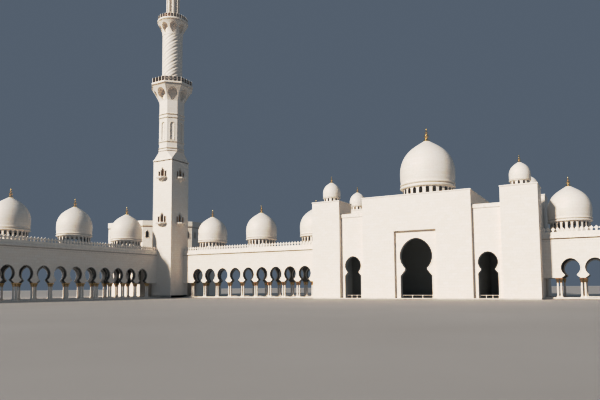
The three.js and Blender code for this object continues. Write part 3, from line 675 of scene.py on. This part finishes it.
def merlonShape():
    right = merlon["leaf"]
    outline = [(-u, z) for u, z in right] + [(0, merlon["tip"])] + list(reversed(right))
    inner = [(u * 0.84, 0.01 + (z - 0.01) * 0.93) for u, z in outline]
    half, bevel, n = merlon["thick"] / 2, merlon["bevel"], len(outline)
    rows = [(inner, -half), (outline, bevel - half), (outline, half - bevel), (inner, half)]
    points = [(u, y, z) for line, y in rows for u, z in line]
    faces = [list(range(n)), list(range(4 * n - 1, 3 * n - 1, -1))]
    for row in range(3):
        for i in range(n):
            j = (i + 1) % n
            faces.append([row * n + i, row * n + j, (row + 1) * n + j, (row + 1) * n + i])
    return points, faces


oneMerlon = merlonShape()


def merlonRow(start, end, turn, across):
    # start and end are places along the wall; tips stand at whole steps of the pitch from the court corner
    first = ceil((start + merlon["endGap"]) / merlon["pitch"])
    last = floor((end - merlon["endGap"]) / merlon["pitch"])
    row = []
    for i in range(first, last + 1):
        u = i * merlon["pitch"]
        x, y = (across, u) if turn else (u, across)
        row.append(moved(oneMerlon, x=x, y=y, z=merlon["foot"], turn=turn))
    return joined(*row)


inset, shortEnd = merlon["inset"], 0.1
merlonRows = {
    "wing": [(wingEnd, -clear, 90, -inset), (wingEnd, depth, 90, inset - depth),
             (shortEnd - depth, -shortEnd, 0, wingEnd + inset), (shortEnd - depth, 0, 0, depth - inset)],
    "facade": [(clear, towerLeft, 0, inset), (0, towerLeft, 0, depth - inset)],
    "east": [(towerRight, eastEnd, 0, inset), (shortEnd, depth - shortEnd, 90, eastEnd - inset),
             (towerRight, eastEnd, 0, depth - inset)],
}
for side, rows in merlonRows.items():
    addPiece(side + "_merlons", [(trimMarble, joined(*[merlonRow(*row) for row in rows]))])


def corniceParts(path, front):
    # a bead on the ledge all along the path, and a drip along its front with a painted shadow line under it
    return [(trimMarble, joined(moulding(path, cornice["bead"]), moulding(front, cornice["drip"]))),
            (ledgeShadowMarble, moulding(front, cornice["shadowStrip"]))]


wingRun = [(-seam, depth), (0.05 - depth, depth), (-depth, depth - 0.05), (-depth, wingEnd),
           (0, wingEnd), (0, -clear)]
facadeFrontRun = [(clear, 0), (towerLeft - seam, 0)]
facadeRearRun = [(towerLeft - seam, depth), (seam, depth)]
eastRun = [(towerRight + seam, 0), (eastEnd, 0), (eastEnd, depth), (towerRight + seam, depth)]
addPiece("wing_cornice", corniceParts(wingRun, wingRun[-2:]))
addPiece("facade_cornice", corniceParts(facadeFrontRun, facadeFrontRun)
         + corniceParts(facadeRearRun, facadeRearRun))
addPiece("east_cornice", corniceParts(eastRun, eastRun[:2]))
print("merlons and cornices built")

# Domes: a drum with a ring of slender windows, a moulded ring, the pointed bulb and a gilded finial.
# A window is its half width and the heights of its foot, its spring and its tip
galleryDome = {"radius": 1.0, "drum": 0.9, "drumLow": 3.2807, "ringLow": 3.68, "ringHigh": 3.9, "top": 5.55,
               "windows": 24, "window": (0.064, 3.3, 3.58, 3.655), "finial": 0.5, "segments": 96}
mainDome = {"radius": 1.5, "drum": 1.36, "drumLow": 5.4207, "ringLow": 5.97, "ringHigh": 6.3, "top": 8.8,
            "windows": 24, "window": (0.094, 5.5, 5.84, 5.94), "finial": 0.76, "segments": 120}
towerDome = {"radius": 0.5, "drum": 0.44, "drumLow": 5.3607, "ringLow": 5.62, "ringHigh": 5.72, "top": 6.6,
             "windows": 12, "window": (0.045, 5.4, 5.54, 5.6), "finial": 0.36, "segments": 60}
bulb = {"bulge": 0.23, "round": 0.63, "tip": 0.14, "sharpness": 6, "fullness": 0.86, "steps": 30}
ringLine = [(0.95, 0.02), (0.985, 0.06), (1.005, 0.16), (1.01, 0.28), (1.0, 0.4), (0.97, 0.48), (0.93, 0.51),
            (0.93, 0.6), (0.97, 0.63), (0.995, 0.7), (1.0, 0.84), (0.99, 0.96), (0.975, 1.0)]
finialLine = [(0, -0.16), (0.25, -0.16), (0.26, -0.1), (0.22, -0.04), (0.15, 0.0), (0.1, 0.05), (0.1, 0.1),
              (0.15, 0.16), (0.18, 0.23), (0.18, 0.29), (0.13, 0.36), (0.07, 0.4), (0.055, 0.43),
              (0.095, 0.48), (0.11, 0.53), (0.09, 0.59), (0.045, 0.64), (0.035, 0.68), (0.06, 0.73),
              (0.062, 0.77), (0.035, 0.82), (0.02, 0.88), (0, 0.94)]


def pick(shape, wanted):
    # the faces that are wanted, with only the points that they use
    points, faces = shape
    faces = [face for face in faces if wanted([points[i] for i in face])]
    used = sorted({i for face in faces for i in face})
    order = {old: new for new, old in enumerate(used)}
    return [points[i] for i in used], [[order[i] for i in face] for face in faces]


def domeParts(size):
    # the drum's outside is marble, and its inside and the reveals of its windows take painted shade
    radius, drumRadius, segments = size["radius"], size["drum"], size["segments"]
    low, ringLow, ringHigh = size["drumLow"], size["ringLow"], size["ringHigh"]
    rise, inner = size["top"] - ringHigh, drumRadius - 0.09 * radius
    window = pointedOpening(*size["window"])
    drumTop = ringLow + 0.004
    drumLine = [(inner, low), (drumRadius, low), (drumRadius, drumTop), (inner, drumTop)]
    windows = ringed(prism(window, -drumRadius - 0.05, 0.05 - inner), size["windows"])
    drum = carved(turned(drumLine, segments, closed=True), windows)

    def facesOut(corners):
        return all(hypot(x, y) > drumRadius * 0.995 for x, y, z in corners)

    sillFace, sillTop = drumRadius + 0.02 * radius, size["window"][1] - 0.01
    sill = turned([(drumRadius - 0.01, low), (sillFace, low), (sillFace, sillTop - 0.015),
                   (drumRadius - 0.01, sillTop)], segments, closed=True)
    curve = [(0.985 * radius, ringHigh + 0.05 * rise), (0.996 * radius, ringHigh + 0.1 * rise)]
    for i in range(bulb["steps"] + 1):
        t = i / bulb["steps"]
        angle = t * pi / 2
        share = bulb["bulge"] + bulb["round"] * sin(angle) + bulb["tip"] * t ** bulb["sharpness"]
        curve.append((radius * max(0.0, cos(angle)) ** bulb["fullness"], ringHigh + rise * share))
    under = [(r * 0.93, ringHigh + (z - ringHigh) * 0.95) for r, z in curve[::-1]]
    ring = [(r * radius, ringLow + t * (ringHigh - ringLow)) for r, t in ringLine]
    inside = [(inner, ringHigh), (inner, ringLow), (drumRadius, ringLow)]
    bell = turned([*ring, *curve, *under, *inside], segments, closed=True)
    finial = turned([(r * size["finial"], size["top"] + z * size["finial"]) for r, z in finialLine], 24)
    return [(domeMarble, pick(drum, facesOut)),
            (paintedShadeStone, pick(drum, lambda corners: not facesOut(corners))),
            (trimMarble, sill), (domeMarble, bell), (finialGold, finial)]


def placeDomes(size, spots):
    shared = None
    for node, spot in spots.items():
        parts = None if shared else domeParts(size)
        made = dress(node, parts, axis=spot, share=shared)
        shared = shared or made


galleryMiddle, domeStep = depth / 2, 4
placeDomes(galleryDome, {
    "wing_dome_1": (-galleryMiddle, -firstArch),
    "wing_dome_2": (-galleryMiddle, -firstArch - domeStep),
    "wing_dome_3": (-galleryMiddle, -firstArch - 2 * domeStep),
    "corner_dome": (-galleryMiddle, galleryMiddle),
    "facade_dome_1": (firstArch, galleryMiddle),
    "facade_dome_2": (firstArch + domeStep, galleryMiddle),
    "facade_dome_3": (firstArch + 2 * domeStep, galleryMiddle),
    "east_dome": (eastFirst, galleryMiddle),
})
placeDomes(mainDome, {"portal_dome": (portal["middle"], galleryMiddle)})
towerSpots = {}
halfTower = portal["tower"] / 2
fromMiddle = portal["half"] - halfTower
for side, x in (("left", portal["middle"] - fromMiddle), ("right", portal["middle"] + fromMiddle)):
    towerSpots[side + "_front_tower_dome"] = (x, portal["front"] + halfTower)
    towerSpots[side + "_rear_tower_dome"] = (x, portal["rear"] - halfTower)
placeDomes(towerDome, towerSpots)
print("domes built")

# Minaret above the square shaft
squareHalf = 0.81  # half the width of that shaft
octagon = {"apothem": squareHalf, "foot": 9.22, "broach": 9.76, "top": 13.22, "bore": 0.5,
           "boreCut": (9, 10),
           "bands": [9.8, 9.99, 10.42, 12.07, 12.305], "groove": 0.045,
           "panel": (0.13, 10.55, 11.6, 11.75), "panelDeep": 0.05}
lowerNiche = {"halfWidth": 0.31, "centre": 13.72, "top": 14.05, "neckHalf": 0.28, "neckZ": 13.6,
              "footHalf": 0.05, "footZ": 13.27}
lowerBalcony = {"neck": octagon["apothem"], "flare": octagon["top"], "reach": 1.28, "curve": 1.3,
                "rim": 1.36, "rimLow": 14.25, "deck": 14.4, "groove": 0.07, "bore": octagon["bore"],
                "closed": False, "niche": lowerNiche, "nicheDeep": 0.15}
upperNiche = {"halfWidth": 0.235, "centre": 18.45, "top": 18.7, "neckHalf": 0.21, "neckZ": 18.36,
              "footHalf": 0.06, "footZ": 18.06}
roundShaft = {"radius": 0.69, "inner": 0.49, "flutes": 6, "flute": 0.065, "between": 0.55,
              "turnPerBay": 2 * pi / 2.88, "collar": 0.14, "plainTop": 0.03,
              "segments": 192, "rows": 120}
upperBalcony = {"neck": roundShaft["radius"], "flare": 17.95, "reach": 1.0, "curve": 2, "rim": 1.04,
                "rimLow": 18.86, "deck": 19.0, "groove": 0.06, "bore": roundShaft["inner"],
                "closed": True, "niche": upperNiche, "nicheDeep": 0.15}


def broachShape():
    # from the square up to the octagon
    low, high, half, apothem = octagon["foot"] + seam, octagon["broach"], squareHalf, octagon["apothem"]
    corner = apothem * tan(pi / 8)
    corners = ((1, -1), (1, 1), (-1, 1), (-1, -1))
    points = [(half * x, half * y, low) for x, y in corners]
    for i, (x, y) in enumerate(corners):
        onSide, onNext = (x * apothem, y * corner, high), (x * corner, y * apothem, high)
        points += [onSide, onNext] if i % 2 else [onNext, onSide]
    faces = [[3, 2, 1, 0], list(range(4, 12))]
    for i in range(4):
        a, b, c = 4 + 2 * i, 5 + 2 * i, 4 + (2 * i + 2) % 8
        faces += [[i, b, a], [i, (i + 1) % 4, c, b]]
    return points, faces


def octagonParts():
    r, low, deep = octagon["apothem"], octagon["broach"] - 0.002, octagon["groove"]
    outside = [(r - deep, low), (r - deep, octagon["bands"][0] - 0.012), (r, octagon["bands"][0] - 0.01)]
    for z in octagon["bands"][1:]:  # a shadow groove under each band
        outside += [(r, z - 0.075), (r - deep, z - 0.07), (r - deep, z - 0.012), (r, z - 0.01)]
    shell = eightSided([(octagon["bore"], low), *outside, (r, octagon["top"]),
                        (octagon["bore"], octagon["top"])])
    half, low = octagon["panel"][:2]
    panel = pointedOpening(*octagon["panel"])
    cut = ringed(prism(panel, -r - 0.1, octagon["panelDeep"] - r), 8)
    path = [(-u, z) for u, z in panel[3:]]
    frame = ribbon([(-half, low), *path, (half, low)], 0.03, -r - 0.014, 0.01 - r)
    sill = block(-half - 0.045, half + 0.045, -r - 0.025, 0.01 - r, low - 0.035, low)
    line = [(-0.01, -0.01), (0.03, -0.01), (0.035, 0.01), (0.03, 0.04), (-0.01, 0.05)]
    bands = [eightSided(shifted(line, r, z)) for z in octagon["bands"]]
    bore = octagon["bore"]
    broach = carved(broachShape(), block(-bore, bore, -bore, bore, *octagon["boreCut"]))
    return [(wallMarble, carved(shell, cut)), (wallMarble, broach),
            (trimMarble, joined(ringed(joined(frame, sill), 8), *bands))]


def cupProfile(form):
    # half a section through a balcony: the flaring cup, the rim, and the deck, which may close the bore
    low, steps = form["flare"] + seam, 14
    flare = []
    for i in range(steps + 1):
        t = i / steps
        flare.append((form["neck"] + (form["reach"] - form["neck"]) * t ** form["curve"],
                      low + (form["rimLow"] - 0.06 - low) * t))
    rimLow, rim, deck, reach = form["rimLow"], form["rim"], form["deck"], form["reach"]
    groove = reach - form["groove"]
    edge = [(groove, rimLow - 0.05), (groove, rimLow + 0.005), (rim - 0.02, rimLow + 0.005),
            (rim, rimLow + 0.02), (rim, deck - 0.03), (rim - 0.02, deck)]
    bore = form["bore"]
    inside = [(0, deck), (0, rimLow), (bore, rimLow)] if form["closed"] else [(bore, deck)]
    return [(bore, low), *flare, *edge, *inside]


def balconyParts(form, material, cup):
    # a ring of keyhole niches under the deck
    niche = prism(archPath(form["niche"]), -form["rim"] - 0.1, form["nicheDeep"] - form["neck"])
    return [(material, carved(cup, ringed(niche, 8)))]


def twistedFlutes(angle, z):
    # deep and shallow grooves by turns, which wind up the shaft between its plain ends
    shaft = roundShaft
    low, high = lowerBalcony["deck"], upperBalcony["flare"]
    if z < low + shaft["collar"] or z > high - shaft["plainTop"]:
        return 1.0
    turn = shaft["flutes"] / 2 * (angle - shaft["turnPerBay"] * (z - low))
    deep, shallow = (1 - abs(sin(turn))) ** 1.7, (1 - abs(cos(turn))) ** 1.7
    return 1.0 - shaft["flute"] * (deep + shaft["between"] * shallow)


def roundShaftParts():
    shaft = roundShaft
    low, high = lowerBalcony["deck"] + seam, upperBalcony["flare"]
    first, last = low + shaft["collar"], high - shaft["plainTop"]
    heights = [low, first - 0.002]
    for i in range(shaft["rows"] + 1):
        heights.append(first + 0.002 + (last - first - 0.004) * i / shaft["rows"])
    heights += [last + 0.002, high]
    r, inside, segments = shaft["radius"], shaft["inner"], shaft["segments"]
    body = turned([(r, z) for z in heights], segments, squeeze=twistedFlutes)
    inner = turned([(inside, z) for z in (low, high)], segments)
    lids = [turned([(inside, z), (r, z)], segments) for z in (low, high)]
    line = [(-0.02, -0.04), (0.02, -0.03), (0.03, 0), (0.02, 0.03), (-0.02, 0.04)]
    bead = turned(shifted(line, r, first), 96, closed=True)
    return [(shaftMarble, joined(body, inner, *lids)), (trimMarble, bead)]


railing = {"bar": 0.012, "barThick": 0.018, "strip": 0.017, "stripThick": 0.008, "cell": 0.09,
           "post": 0.025, "low": 0.04, "underTop": 0.03, "inset": 0.075}


def railingPanel(width, height, posts):
    # posts of marble with a brass lattice and rails between them, standing on z = 0 along X
    half, bar, strip, post = width / 2, railing["bar"], railing["strip"], railing["post"]
    low, high = railing["low"], height - railing["underTop"]
    rails = [block(-half, half, -railing["barThick"], railing["barThick"], z - bar, z + bar)
             for z in (low, high)]
    cells = max(3, round(width / railing["cell"]))
    step = width / cells
    strips = []
    for i in range(cells):
        x = -half + step * i
        for a, b in ((x, x + step), (x + step, x)):
            dx, dz = b - a, high - low
            length = hypot(dx, dz)
            ox, oz = dz / length * strip, -dx / length * strip
            outline = [(a - ox, low - oz), (a + ox, low + oz), (b + ox, high + oz), (b - ox, high - oz)]
            strips.append(prism(outline, -railing["stripThick"], railing["stripThick"]))
    ball = turned(shifted([(0, 0), (0.022, 0.01), (0.028, 0.03), (0.02, 0.05), (0, 0.062)], up=height), 12)
    baluster = joined(block(-post, post, -post, post, 0, height), ball)
    row = [moved(baluster, x=-half + width * i / posts) for i in range(posts)]
    return joined(*rails, *strips), joined(*row)


def railingParts(balcony, sides, height, posts):
    apothem = balcony["rim"] - railing["inset"]
    lattice, post = railingPanel(2 * apothem * tan(pi / sides), height, posts)
    where = {"y": -apothem, "z": balcony["deck"] + seam}
    return [(shadeDarkenedBrass, ringed(moved(lattice, **where), sides)),
            (trimMarble, ringed(moved(post, **where), sides))]


lantern = {"deck": upperBalcony["deck"] + seam, "ring": 0.395, "column": 0.055, "columns": 8,
           "capital": 0.3, "lidLow": 21.35, "lidTop": 21.8, "coreRadius": 0.26,
           "bars": 16, "barHalf": 0.036, "hoops": (0.5, 1.1, 1.7)}


def lanternParts():
    deck, lidLow, lidTop = lantern["deck"], lantern["lidLow"], lantern["lidTop"]
    r, top = lantern["column"], lidLow - lantern["capital"]
    foot = shifted([(0.025, 0.12), (0.03, 0.16), (0.01, 0.2), (0, 0.24)], r, deck)
    post = turned([(0, deck + 0.12), *foot, (r * 0.94, top), (0, top)], 20)
    cup = shifted([(0.015, -0.27), (0, -0.25), (0.01, -0.16), (0.035, -0.08), (0.045, -0.05), (0.045, 0)],
                  r, lidLow)
    capital = turned([(0, top), (r, top), *cup, (0, lidLow)], 20)
    base = turned(shifted([(0.3, 0), (0.52, 0), (0.52, 0.06), (0.49, 0.08), (0.49, 0.12), (0.3, 0.12)],
                          up=deck), 64, closed=True)
    radius, half = lantern["coreRadius"], lantern["barHalf"]
    near, far = radius - 0.012, radius + 0.02
    bar = block(-half, half, -radius - 0.012, 0.012 - radius, deck + 0.1, lidLow + 0.02)
    hoop = [(near, 0), (far, 0), (far, 0.04), (near, 0.04)]
    hoops = [turned(shifted(hoop, up=deck + z), 48, closed=True) for z in lantern["hoops"]]
    core = joined(ringed(bar, lantern["bars"]), *hoops)
    lid = shifted([(0, 0), (0.47, 0), (0.48, 0.03), (0.5, 0.12), (0.54, 0.22), (0.6, 0.3), (0.62, 0.34)],
                  up=lidLow)
    lid = turned([*lid, (0.62, lidTop - 0.03), (0.6, lidTop), (0, lidTop)], 96)
    posts, capitals = [ringed(moved(shape, x=lantern["ring"]), lantern["columns"])
                       for shape in (post, capital)]
    return [(trimMarble, joined(base, posts)), (trimMarble, lid), (gilding, capitals), (wallMarble, core)]


crown = {
    "top": 23.9,
    "tip": 25.5,
    "ribs": 12,
    "rib": 0.03,
    "ribsAbove": 0.15,
    "ribsTop": 23.7,
    "foot": [(0, 0), (0.42, 0), (0.44, 0.05), (0.42, 0.1), (0.4, 0.14), (0.44, 0.2), (0.49, 0.3),
             (0.525, 0.42)],
    "onion": [(0.54, 22.3), (0.54, 22.42), (0.525, 22.56), (0.497, 22.7), (0.45, 22.87), (0.39, 23.03),
              (0.33, 23.18), (0.27, 23.34), (0.21, 23.5), (0.15, 23.66), (0.11, 23.8)],
}


def ribbedCrown(angle, z):
    # shallow ribs on the belly of the cap, none at its foot and its neck
    if lantern["lidTop"] + seam + crown["ribsAbove"] < z < crown["ribsTop"]:
        return 1 - crown["rib"] * (1 - abs(sin(crown["ribs"] / 2 * angle))) ** 2
    return 1


def crownParts():
    low, top, tip = lantern["lidTop"] + seam, crown["top"], crown["tip"]
    onion = [*shifted(crown["foot"], up=low), *crown["onion"], (0.1, top), (0, top)]
    spike = turned([(r * 0.8, top + z / finialLine[-1][1] * (tip - top)) for r, z in finialLine], 32)
    return [(gilding, turned(onion, 96, squeeze=ribbedCrown)), (gilding, spike)]


minaretPieces = {
    "octagon_shaft": octagonParts(),
    "lower_balcony": balconyParts(lowerBalcony, wallMarble, eightSided(cupProfile(lowerBalcony))),
    "lower_railing": railingParts(lowerBalcony, sides=8, height=0.3, posts=4),
    "round_shaft": roundShaftParts(),
    "upper_balcony": balconyParts(upperBalcony, shaftMarble,
                                  turned(cupProfile(upperBalcony), 96, closed=True)),
    "upper_railing": railingParts(upperBalcony, sides=16, height=0.24, posts=2),
    "lantern": lanternParts(),
    "cap": crownParts(),
}
for name, parts in minaretPieces.items():
    isGilded = name.endswith("railing") or name == "cap"
    dress("minaret_" + name, parts, slot="gilding" if isGilded else "marble", axis=axisInCourt)
print("minaret built")

# Square shaft: corner beads, the moulded lip, and two tiers of bracketed doorways with brass grilles
squareTrim = {
    "foot": 0.03,
    "top": 9.15,
    "bead": 0.02,
    "lip": [(0, 9.09), (0.015, 9.09), (0.03, 9.12), (0.045, 9.14), (0.052, 9.16), (0.052, 9.2),
            (0.04, 9.215), (0, 9.215)],
    "plinth": [(0, 0.001), (0.035, 0.001), (0.035, 0.16), (0.02, 0.18), (0, 0.18)],
}
oriel = {"floors": [4.98, 8.02], "radius": 0.37, "chamfer": 0.55, "doorHalf": 0.12, "doorSpring": 0.42,
         "doorTop": 0.66, "grilleNear": 0.19, "grilleFar": 0.35, "grilleTop": 0.42, "postHalf": 0.014,
         "out": 0.03, "columns": 4, "levels": (0.06, 0.14, 0.22, 0.3), "rungs": (0.08, 0.18, 0.28, 0.38),
         "sideBarTop": 0.4, "middleBarTop": 0.52}


def squareTrimParts():
    half, r, low, high = squareHalf, squareTrim["bead"], squareTrim["foot"], squareTrim["top"]
    bead = turned([(0, low), (r, low), (r, high), (0, high)], 12)
    bead = moved(bead, x=half - 0.006, y=half - 0.006)
    square = [(-half, -half), (-half, half), (half, half), (half, -half)]
    lip, plinth = [moulding(square, squareTrim[name], closed=True) for name in ("lip", "plinth")]
    return [(trimMarble, joined(ringed(bead, 4), lip, plinth))]


def orielParts():
    size = oriel
    near, far, top = size["grilleNear"], size["grilleFar"], size["grilleTop"]
    out, columns = size["out"], size["columns"]
    r, c = size["radius"], size["chamfer"] * size["radius"]
    plan = [(-r, 0), (-r, -c), (-c, -r), (c, -r), (r, -c), (r, 0)]
    deck = slab(plan, -0.09, 0.0)
    edge = slab([(0.94 * x, 0.94 * y) for x, y in plan], -0.13, -0.09)
    posts, grilles = [], []
    for side in (-1, 1):
        for u, high in ((near, top + 0.06), (far, top)):
            middle, half = side * u, size["postHalf"]
            posts.append(block(middle - half, middle + half, -out, 0.002, 0, high))
        left, right = sorted((side * near, side * far))
        posts.append(block(left, right, -out, 0.002, top - 0.03, top))
        for i in range(1, columns):
            u = left + (right - left) * i / columns
            grilles.append(block(u - 0.008, u + 0.008, 0.006 - out, 0.02 - out, 0, top - 0.03))
        for z in size["levels"]:
            grilles.append(block(left, right, 0.008 - out, 0.018 - out, z, z + 0.014))
        grilles.append(block(left, right, -0.012, -0.002, 0, top - 0.03))
    half = size["doorHalf"] - 0.004
    for i in range(columns):  # the lattice in the doorway, just behind the face of the wall
        u = -half + (2 * i + 1) * half / columns
        high = size["middleBarTop" if 0 < i < columns - 1 else "sideBarTop"]
        grilles.append(block(u - 0.009, u + 0.009, 0.02, 0.04, 0.002, high))
    for z in size["rungs"]:
        grilles.append(block(-half, half, 0.022, 0.036, z, z + 0.022))
    half = size["doorHalf"]
    head = [(-u, z) for u, z in pointedOpening(half, 0.0, size["doorSpring"], size["doorTop"])[2:-1]]
    frame = ribbon([(-half, 0.0), *head, (half, 0.0)], 0.03, -0.02, 0.004)
    parts = []
    for material, shapes in ((trimMarble, [deck, edge, frame, *posts]), (agedBrass, grilles)):
        tiers = [moved(joined(*shapes), y=-squareHalf, z=z) for z in size["floors"]]
        parts.append((material, ringed(joined(*tiers), 4)))
    return parts


addPiece("minaret_square_trim", squareTrimParts(), axis=axisInCourt)
addPiece("minaret_oriels", orielParts(), axis=axisInCourt)

# Portal: rims round the arches, bands at the tops of the side bays, copings, and low rails in the doors
mainArch = {"halfWidth": 0.84, "centre": 2.18, "top": 3.1, "neckHalf": 0.585, "neckZ": 1.46,
            "shoulderZ": 1.17, "footHalf": 0.82, "footZ": 0.051}
bayArch = {"halfWidth": 0.46, "centre": 1.78, "top": 2.28, "neckHalf": 0.325, "neckZ": 1.4,
           "shoulderZ": 1.24, "footHalf": 0.46, "footZ": 0.051}


def portalSide():
    # one long side of the portal, with the middle of its front at the origin
    mainFace, bayFace = portal["frameDepth"], portal["bayRecess"]
    proud, width = portal["rimProud"], portal["rim"]
    shapes = [ribbon(archPath(mainArch), width, mainFace - proud, mainFace + 0.01)]
    low, top = portal["bayBandLow"], portal["bayTop"]
    band = [(0, low), (0.05, low + 0.02), (0.05, top - 0.02), (0.03, top + 0.004), (-0.3, top + 0.004),
            (-0.3, top - 0.01), (0, top - 0.01)]
    for side in (-1, 1):
        middle = side * portal["bayMiddle"]
        shapes.append(ribbon(archPath(bayArch, middle), width, bayFace - proud, bayFace + 0.01))
        left, right = middle - portal["bayHalf"], middle + portal["bayHalf"]
        shapes.append(moulding([(left, bayFace), (right, bayFace)], band))
    return joined(*shapes)


def railShape(middle, half, y):
    # a low rail across a doorway, on four posts
    post, thin, low, top = 0.018, 0.012, portal["railLow"], portal["railTop"]
    shapes = [block(middle - half, middle + half, y - thin, y + thin, low, top - 0.01)]
    for u in (0.02 - half, -half / 3, half / 3, half - 0.02):
        x = middle + u
        shapes.append(block(x - post, x + post, y - post, y + post, arcade["stripFoot"], top))
    return joined(*shapes)


def copingShape(x0, x1, y0, y1):
    edge = [(-0.08, -0.002), (0.0, -0.05), (0.02, -0.05), (0.022, 0.004), (0.01, 0.016), (-0.08, 0.016)]
    corners = [(x0, y0), (x1, y0), (x1, y1), (x0, y1)]
    return moulding(corners, shifted(edge, up=portal["height"]), closed=True)


middle, front, rear, wide = portal["middle"], portal["front"], portal["rear"], portal["tower"]
frontSide = moved(portalSide(), x=middle, y=front)
rearSide = moved(portalSide(), x=middle, y=rear, turn=180)
rails = [railShape(middle, portal["mainRailHalf"], front + portal["mainRailIn"])]
for side in (-1, 1):
    rails.append(railShape(middle + side * portal["bayMiddle"], portal["bayRailHalf"],
                           front + portal["bayRailIn"]))
copings = [copingShape(middle - portal["blockHalf"], middle + portal["blockHalf"], front, rear)]
for x0, x1 in ((towerLeft, towerLeft + wide), (towerRight - wide, towerRight)):
    for y0 in (front, rear - wide):
        copings.append(copingShape(x0, x1, y0, y0 + wide))
addPiece("portal_arch_trim", [(trimMarble, joined(frontSide, rearSide))])
addPiece("portal_copings", [(trimMarble, joined(*copings))])
addPiece("portal_door_rails", [(trimMarble, joined(*rails))])
print("portal trim built")

# Corner hall: a coping, a band under the parapet and rims round the slender windows
hall = {"apothem": 4.45, "band": 0.05, "bandLow": 5.36, "top": 5.72, "windowOffset": 1.5,
        "window": (0.11, 4.45, 4.82, 5.0), "rim": 0.03}


def hallTrim():
    r, top, low = hall["apothem"], hall["top"], hall["bandLow"]
    face = r - hall["band"]
    coping = [(-0.06, -0.02), (-0.002, -0.05), (-0.002, 0.012), (-0.06, 0.016)]
    coping = eightSided(shifted(coping, r, top))
    under = [(-0.01, -0.05), (0.02, -0.05), (0.035, -0.02), (0.04, 0), (-0.01, 0)]
    under = eightSided(shifted(under, face, low))
    # painted shadow: a darker strip of marble under the band
    shadowStrip = [(-0.01, -0.12), (0.004, -0.12), (0.004, -0.052), (-0.01, -0.052)]
    shadowStrip = eightSided(shifted(shadowStrip, face, low))
    half, sillZ, spring, tip = hall["window"]
    path = [(-half, sillZ), (-half, spring), (0, tip), (half, spring), (half, sillZ)]
    rim = ribbon(path, hall["rim"], -face - 0.02, 0.01 - face)
    sill = block(-half - 0.05, half + 0.05, -face - 0.03, 0.01 - face, sillZ - 0.04, sillZ)
    pair = joined(*[moved(joined(rim, sill), x=side * hall["windowOffset"]) for side in (-1, 1)])
    return [(trimMarble, joined(coping, under, ringed(pair, 8))), (ledgeShadowMarble, shadowStrip)]


hallLow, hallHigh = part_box("corner_hall_floor")
hallMiddle = [((hallLow.x + hallHigh.x) / 2 - courtX) / bay, ((hallLow.y + hallHigh.y) / 2 - courtY) / bay]
addPiece("corner_hall_trim", hallTrim(), axis=hallMiddle)
print("corner hall trimmed")

# The solids that keep their shape take the finish of their slot, and those with painted shade inside take
# the marble that paints it
finishes = {"marble": wallMarble, "gilding": gilding, "paving": paving}
shadePaintedNodes = {"portal": portalMarble, "bay": portalMarble, "flank": portalMarble, "tower": portalMarble,
              "roof": roofMarble, "square": stairMarble}
slotOf = {row["node"]: row["material_slot"] for row in frame["record"]["subparts"]}
for name, node in nodes.items():
    finish = finishes[slotOf[name]]
    if slotOf[name] == "marble":
        shadePainted = [shadePaintedNodes[word] for word in shadePaintedNodes if word in name.split("_")]
        finish = shadePainted[0] if shadePainted else finish
    if not node.material_slots:
        node.data.materials.append(finish)
    for slot in node.material_slots:
        slot.material = finish

# Plain studio: a pale floor, a muted backdrop and one soft key light from the front left
studio = {"floorHalf": 90, "floorNear": -60, "floorFar": 120, "floorTop": -0.001, "backdrop": "#5A6A78",
          "keyStrength": 2.75, "keySpread": 4, "keyTint": "#FFF1E4", "keyTowards": (0.275, 0.851, -0.447)}
floorMesh = bpy.data.meshes.new("studio_floor")
half, near, far = studio["floorHalf"], studio["floorNear"], studio["floorFar"]
corners = [(x, y, studio["floorTop"]) for x, y in ((-half, near), (half, near), (half, far), (-half, far))]
floorMesh.from_pydata(corners, [], [(0, 1, 2, 3)])
floorMesh.materials.append(studioFloor())
addObject("studio_floor", floorMesh)

world = bpy.data.worlds.new("studio_backdrop")
bpy.context.scene.world = world
world.use_nodes = True
backdrop = world.node_tree.nodes["Background"].inputs
backdrop["Color"].default_value = toLinear(studio["backdrop"])
backdrop["Strength"].default_value = 1.0

keyLight = bpy.data.lights.new("key_light", "SUN")
keyLight.energy, keyLight.angle = studio["keyStrength"], radians(studio["keySpread"])
keyLight.color = toLinear(studio["keyTint"])[:3]
key = addObject("key_light", keyLight)
key.rotation_euler = Vector(studio["keyTowards"]).to_track_quat("-Z", "Y").to_euler()

# The photograph's view: 32.4 mm lens, turned 28.7 degrees left of the portal's depth and 4.6 degrees up
view = {"lens": 32.44, "sensor": 36.0, "shift": (-0.0066, 0.0722), "far": 400, "sideways": 28.717,
        "up": 4.587, "roll": -0.4505, "place": (25.686, -27.847, 0.6624)}
lens = bpy.data.cameras.new("camera")
lens.lens, lens.sensor_width, lens.clip_end = view["lens"], view["sensor"], view["far"]
lens.shift_x, lens.shift_y = view["shift"]
camera = addObject("camera", lens)
eyeX, eyeY, eyeZ = view["place"]
camera.matrix_world = (
    Matrix.Translation((courtX + eyeX * bay, courtY + eyeY * bay, eyeZ * bay))
    @ Matrix.Rotation(radians(view["sideways"]), 4, "Z")
    @ Matrix.Rotation(radians(90 + view["up"]), 4, "X")
    @ Matrix.Rotation(radians(view["roll"]), 4, "Z"))
bpy.context.scene.camera = camera

# The photograph's tones: deeper shade, brighter half-lit faces, and whites that stay below clipping
whitest = 0.94
toneCurve = [(0.03, 0.034), (0.19, 0.157), (0.28, 0.305), (0.4, 0.525), (0.66, 0.75), (0.86, 0.86)]
look = bpy.context.scene.view_settings
look.view_transform = "Standard"
look.use_curve_mapping = True
tones = look.curve_mapping.curves[3]
tones.points[-1].location = (1.0, whitest)
for brightness, shown in toneCurve:
    tones.points.new(brightness, shown)
look.curve_mapping.update()
print("studio and camera set")
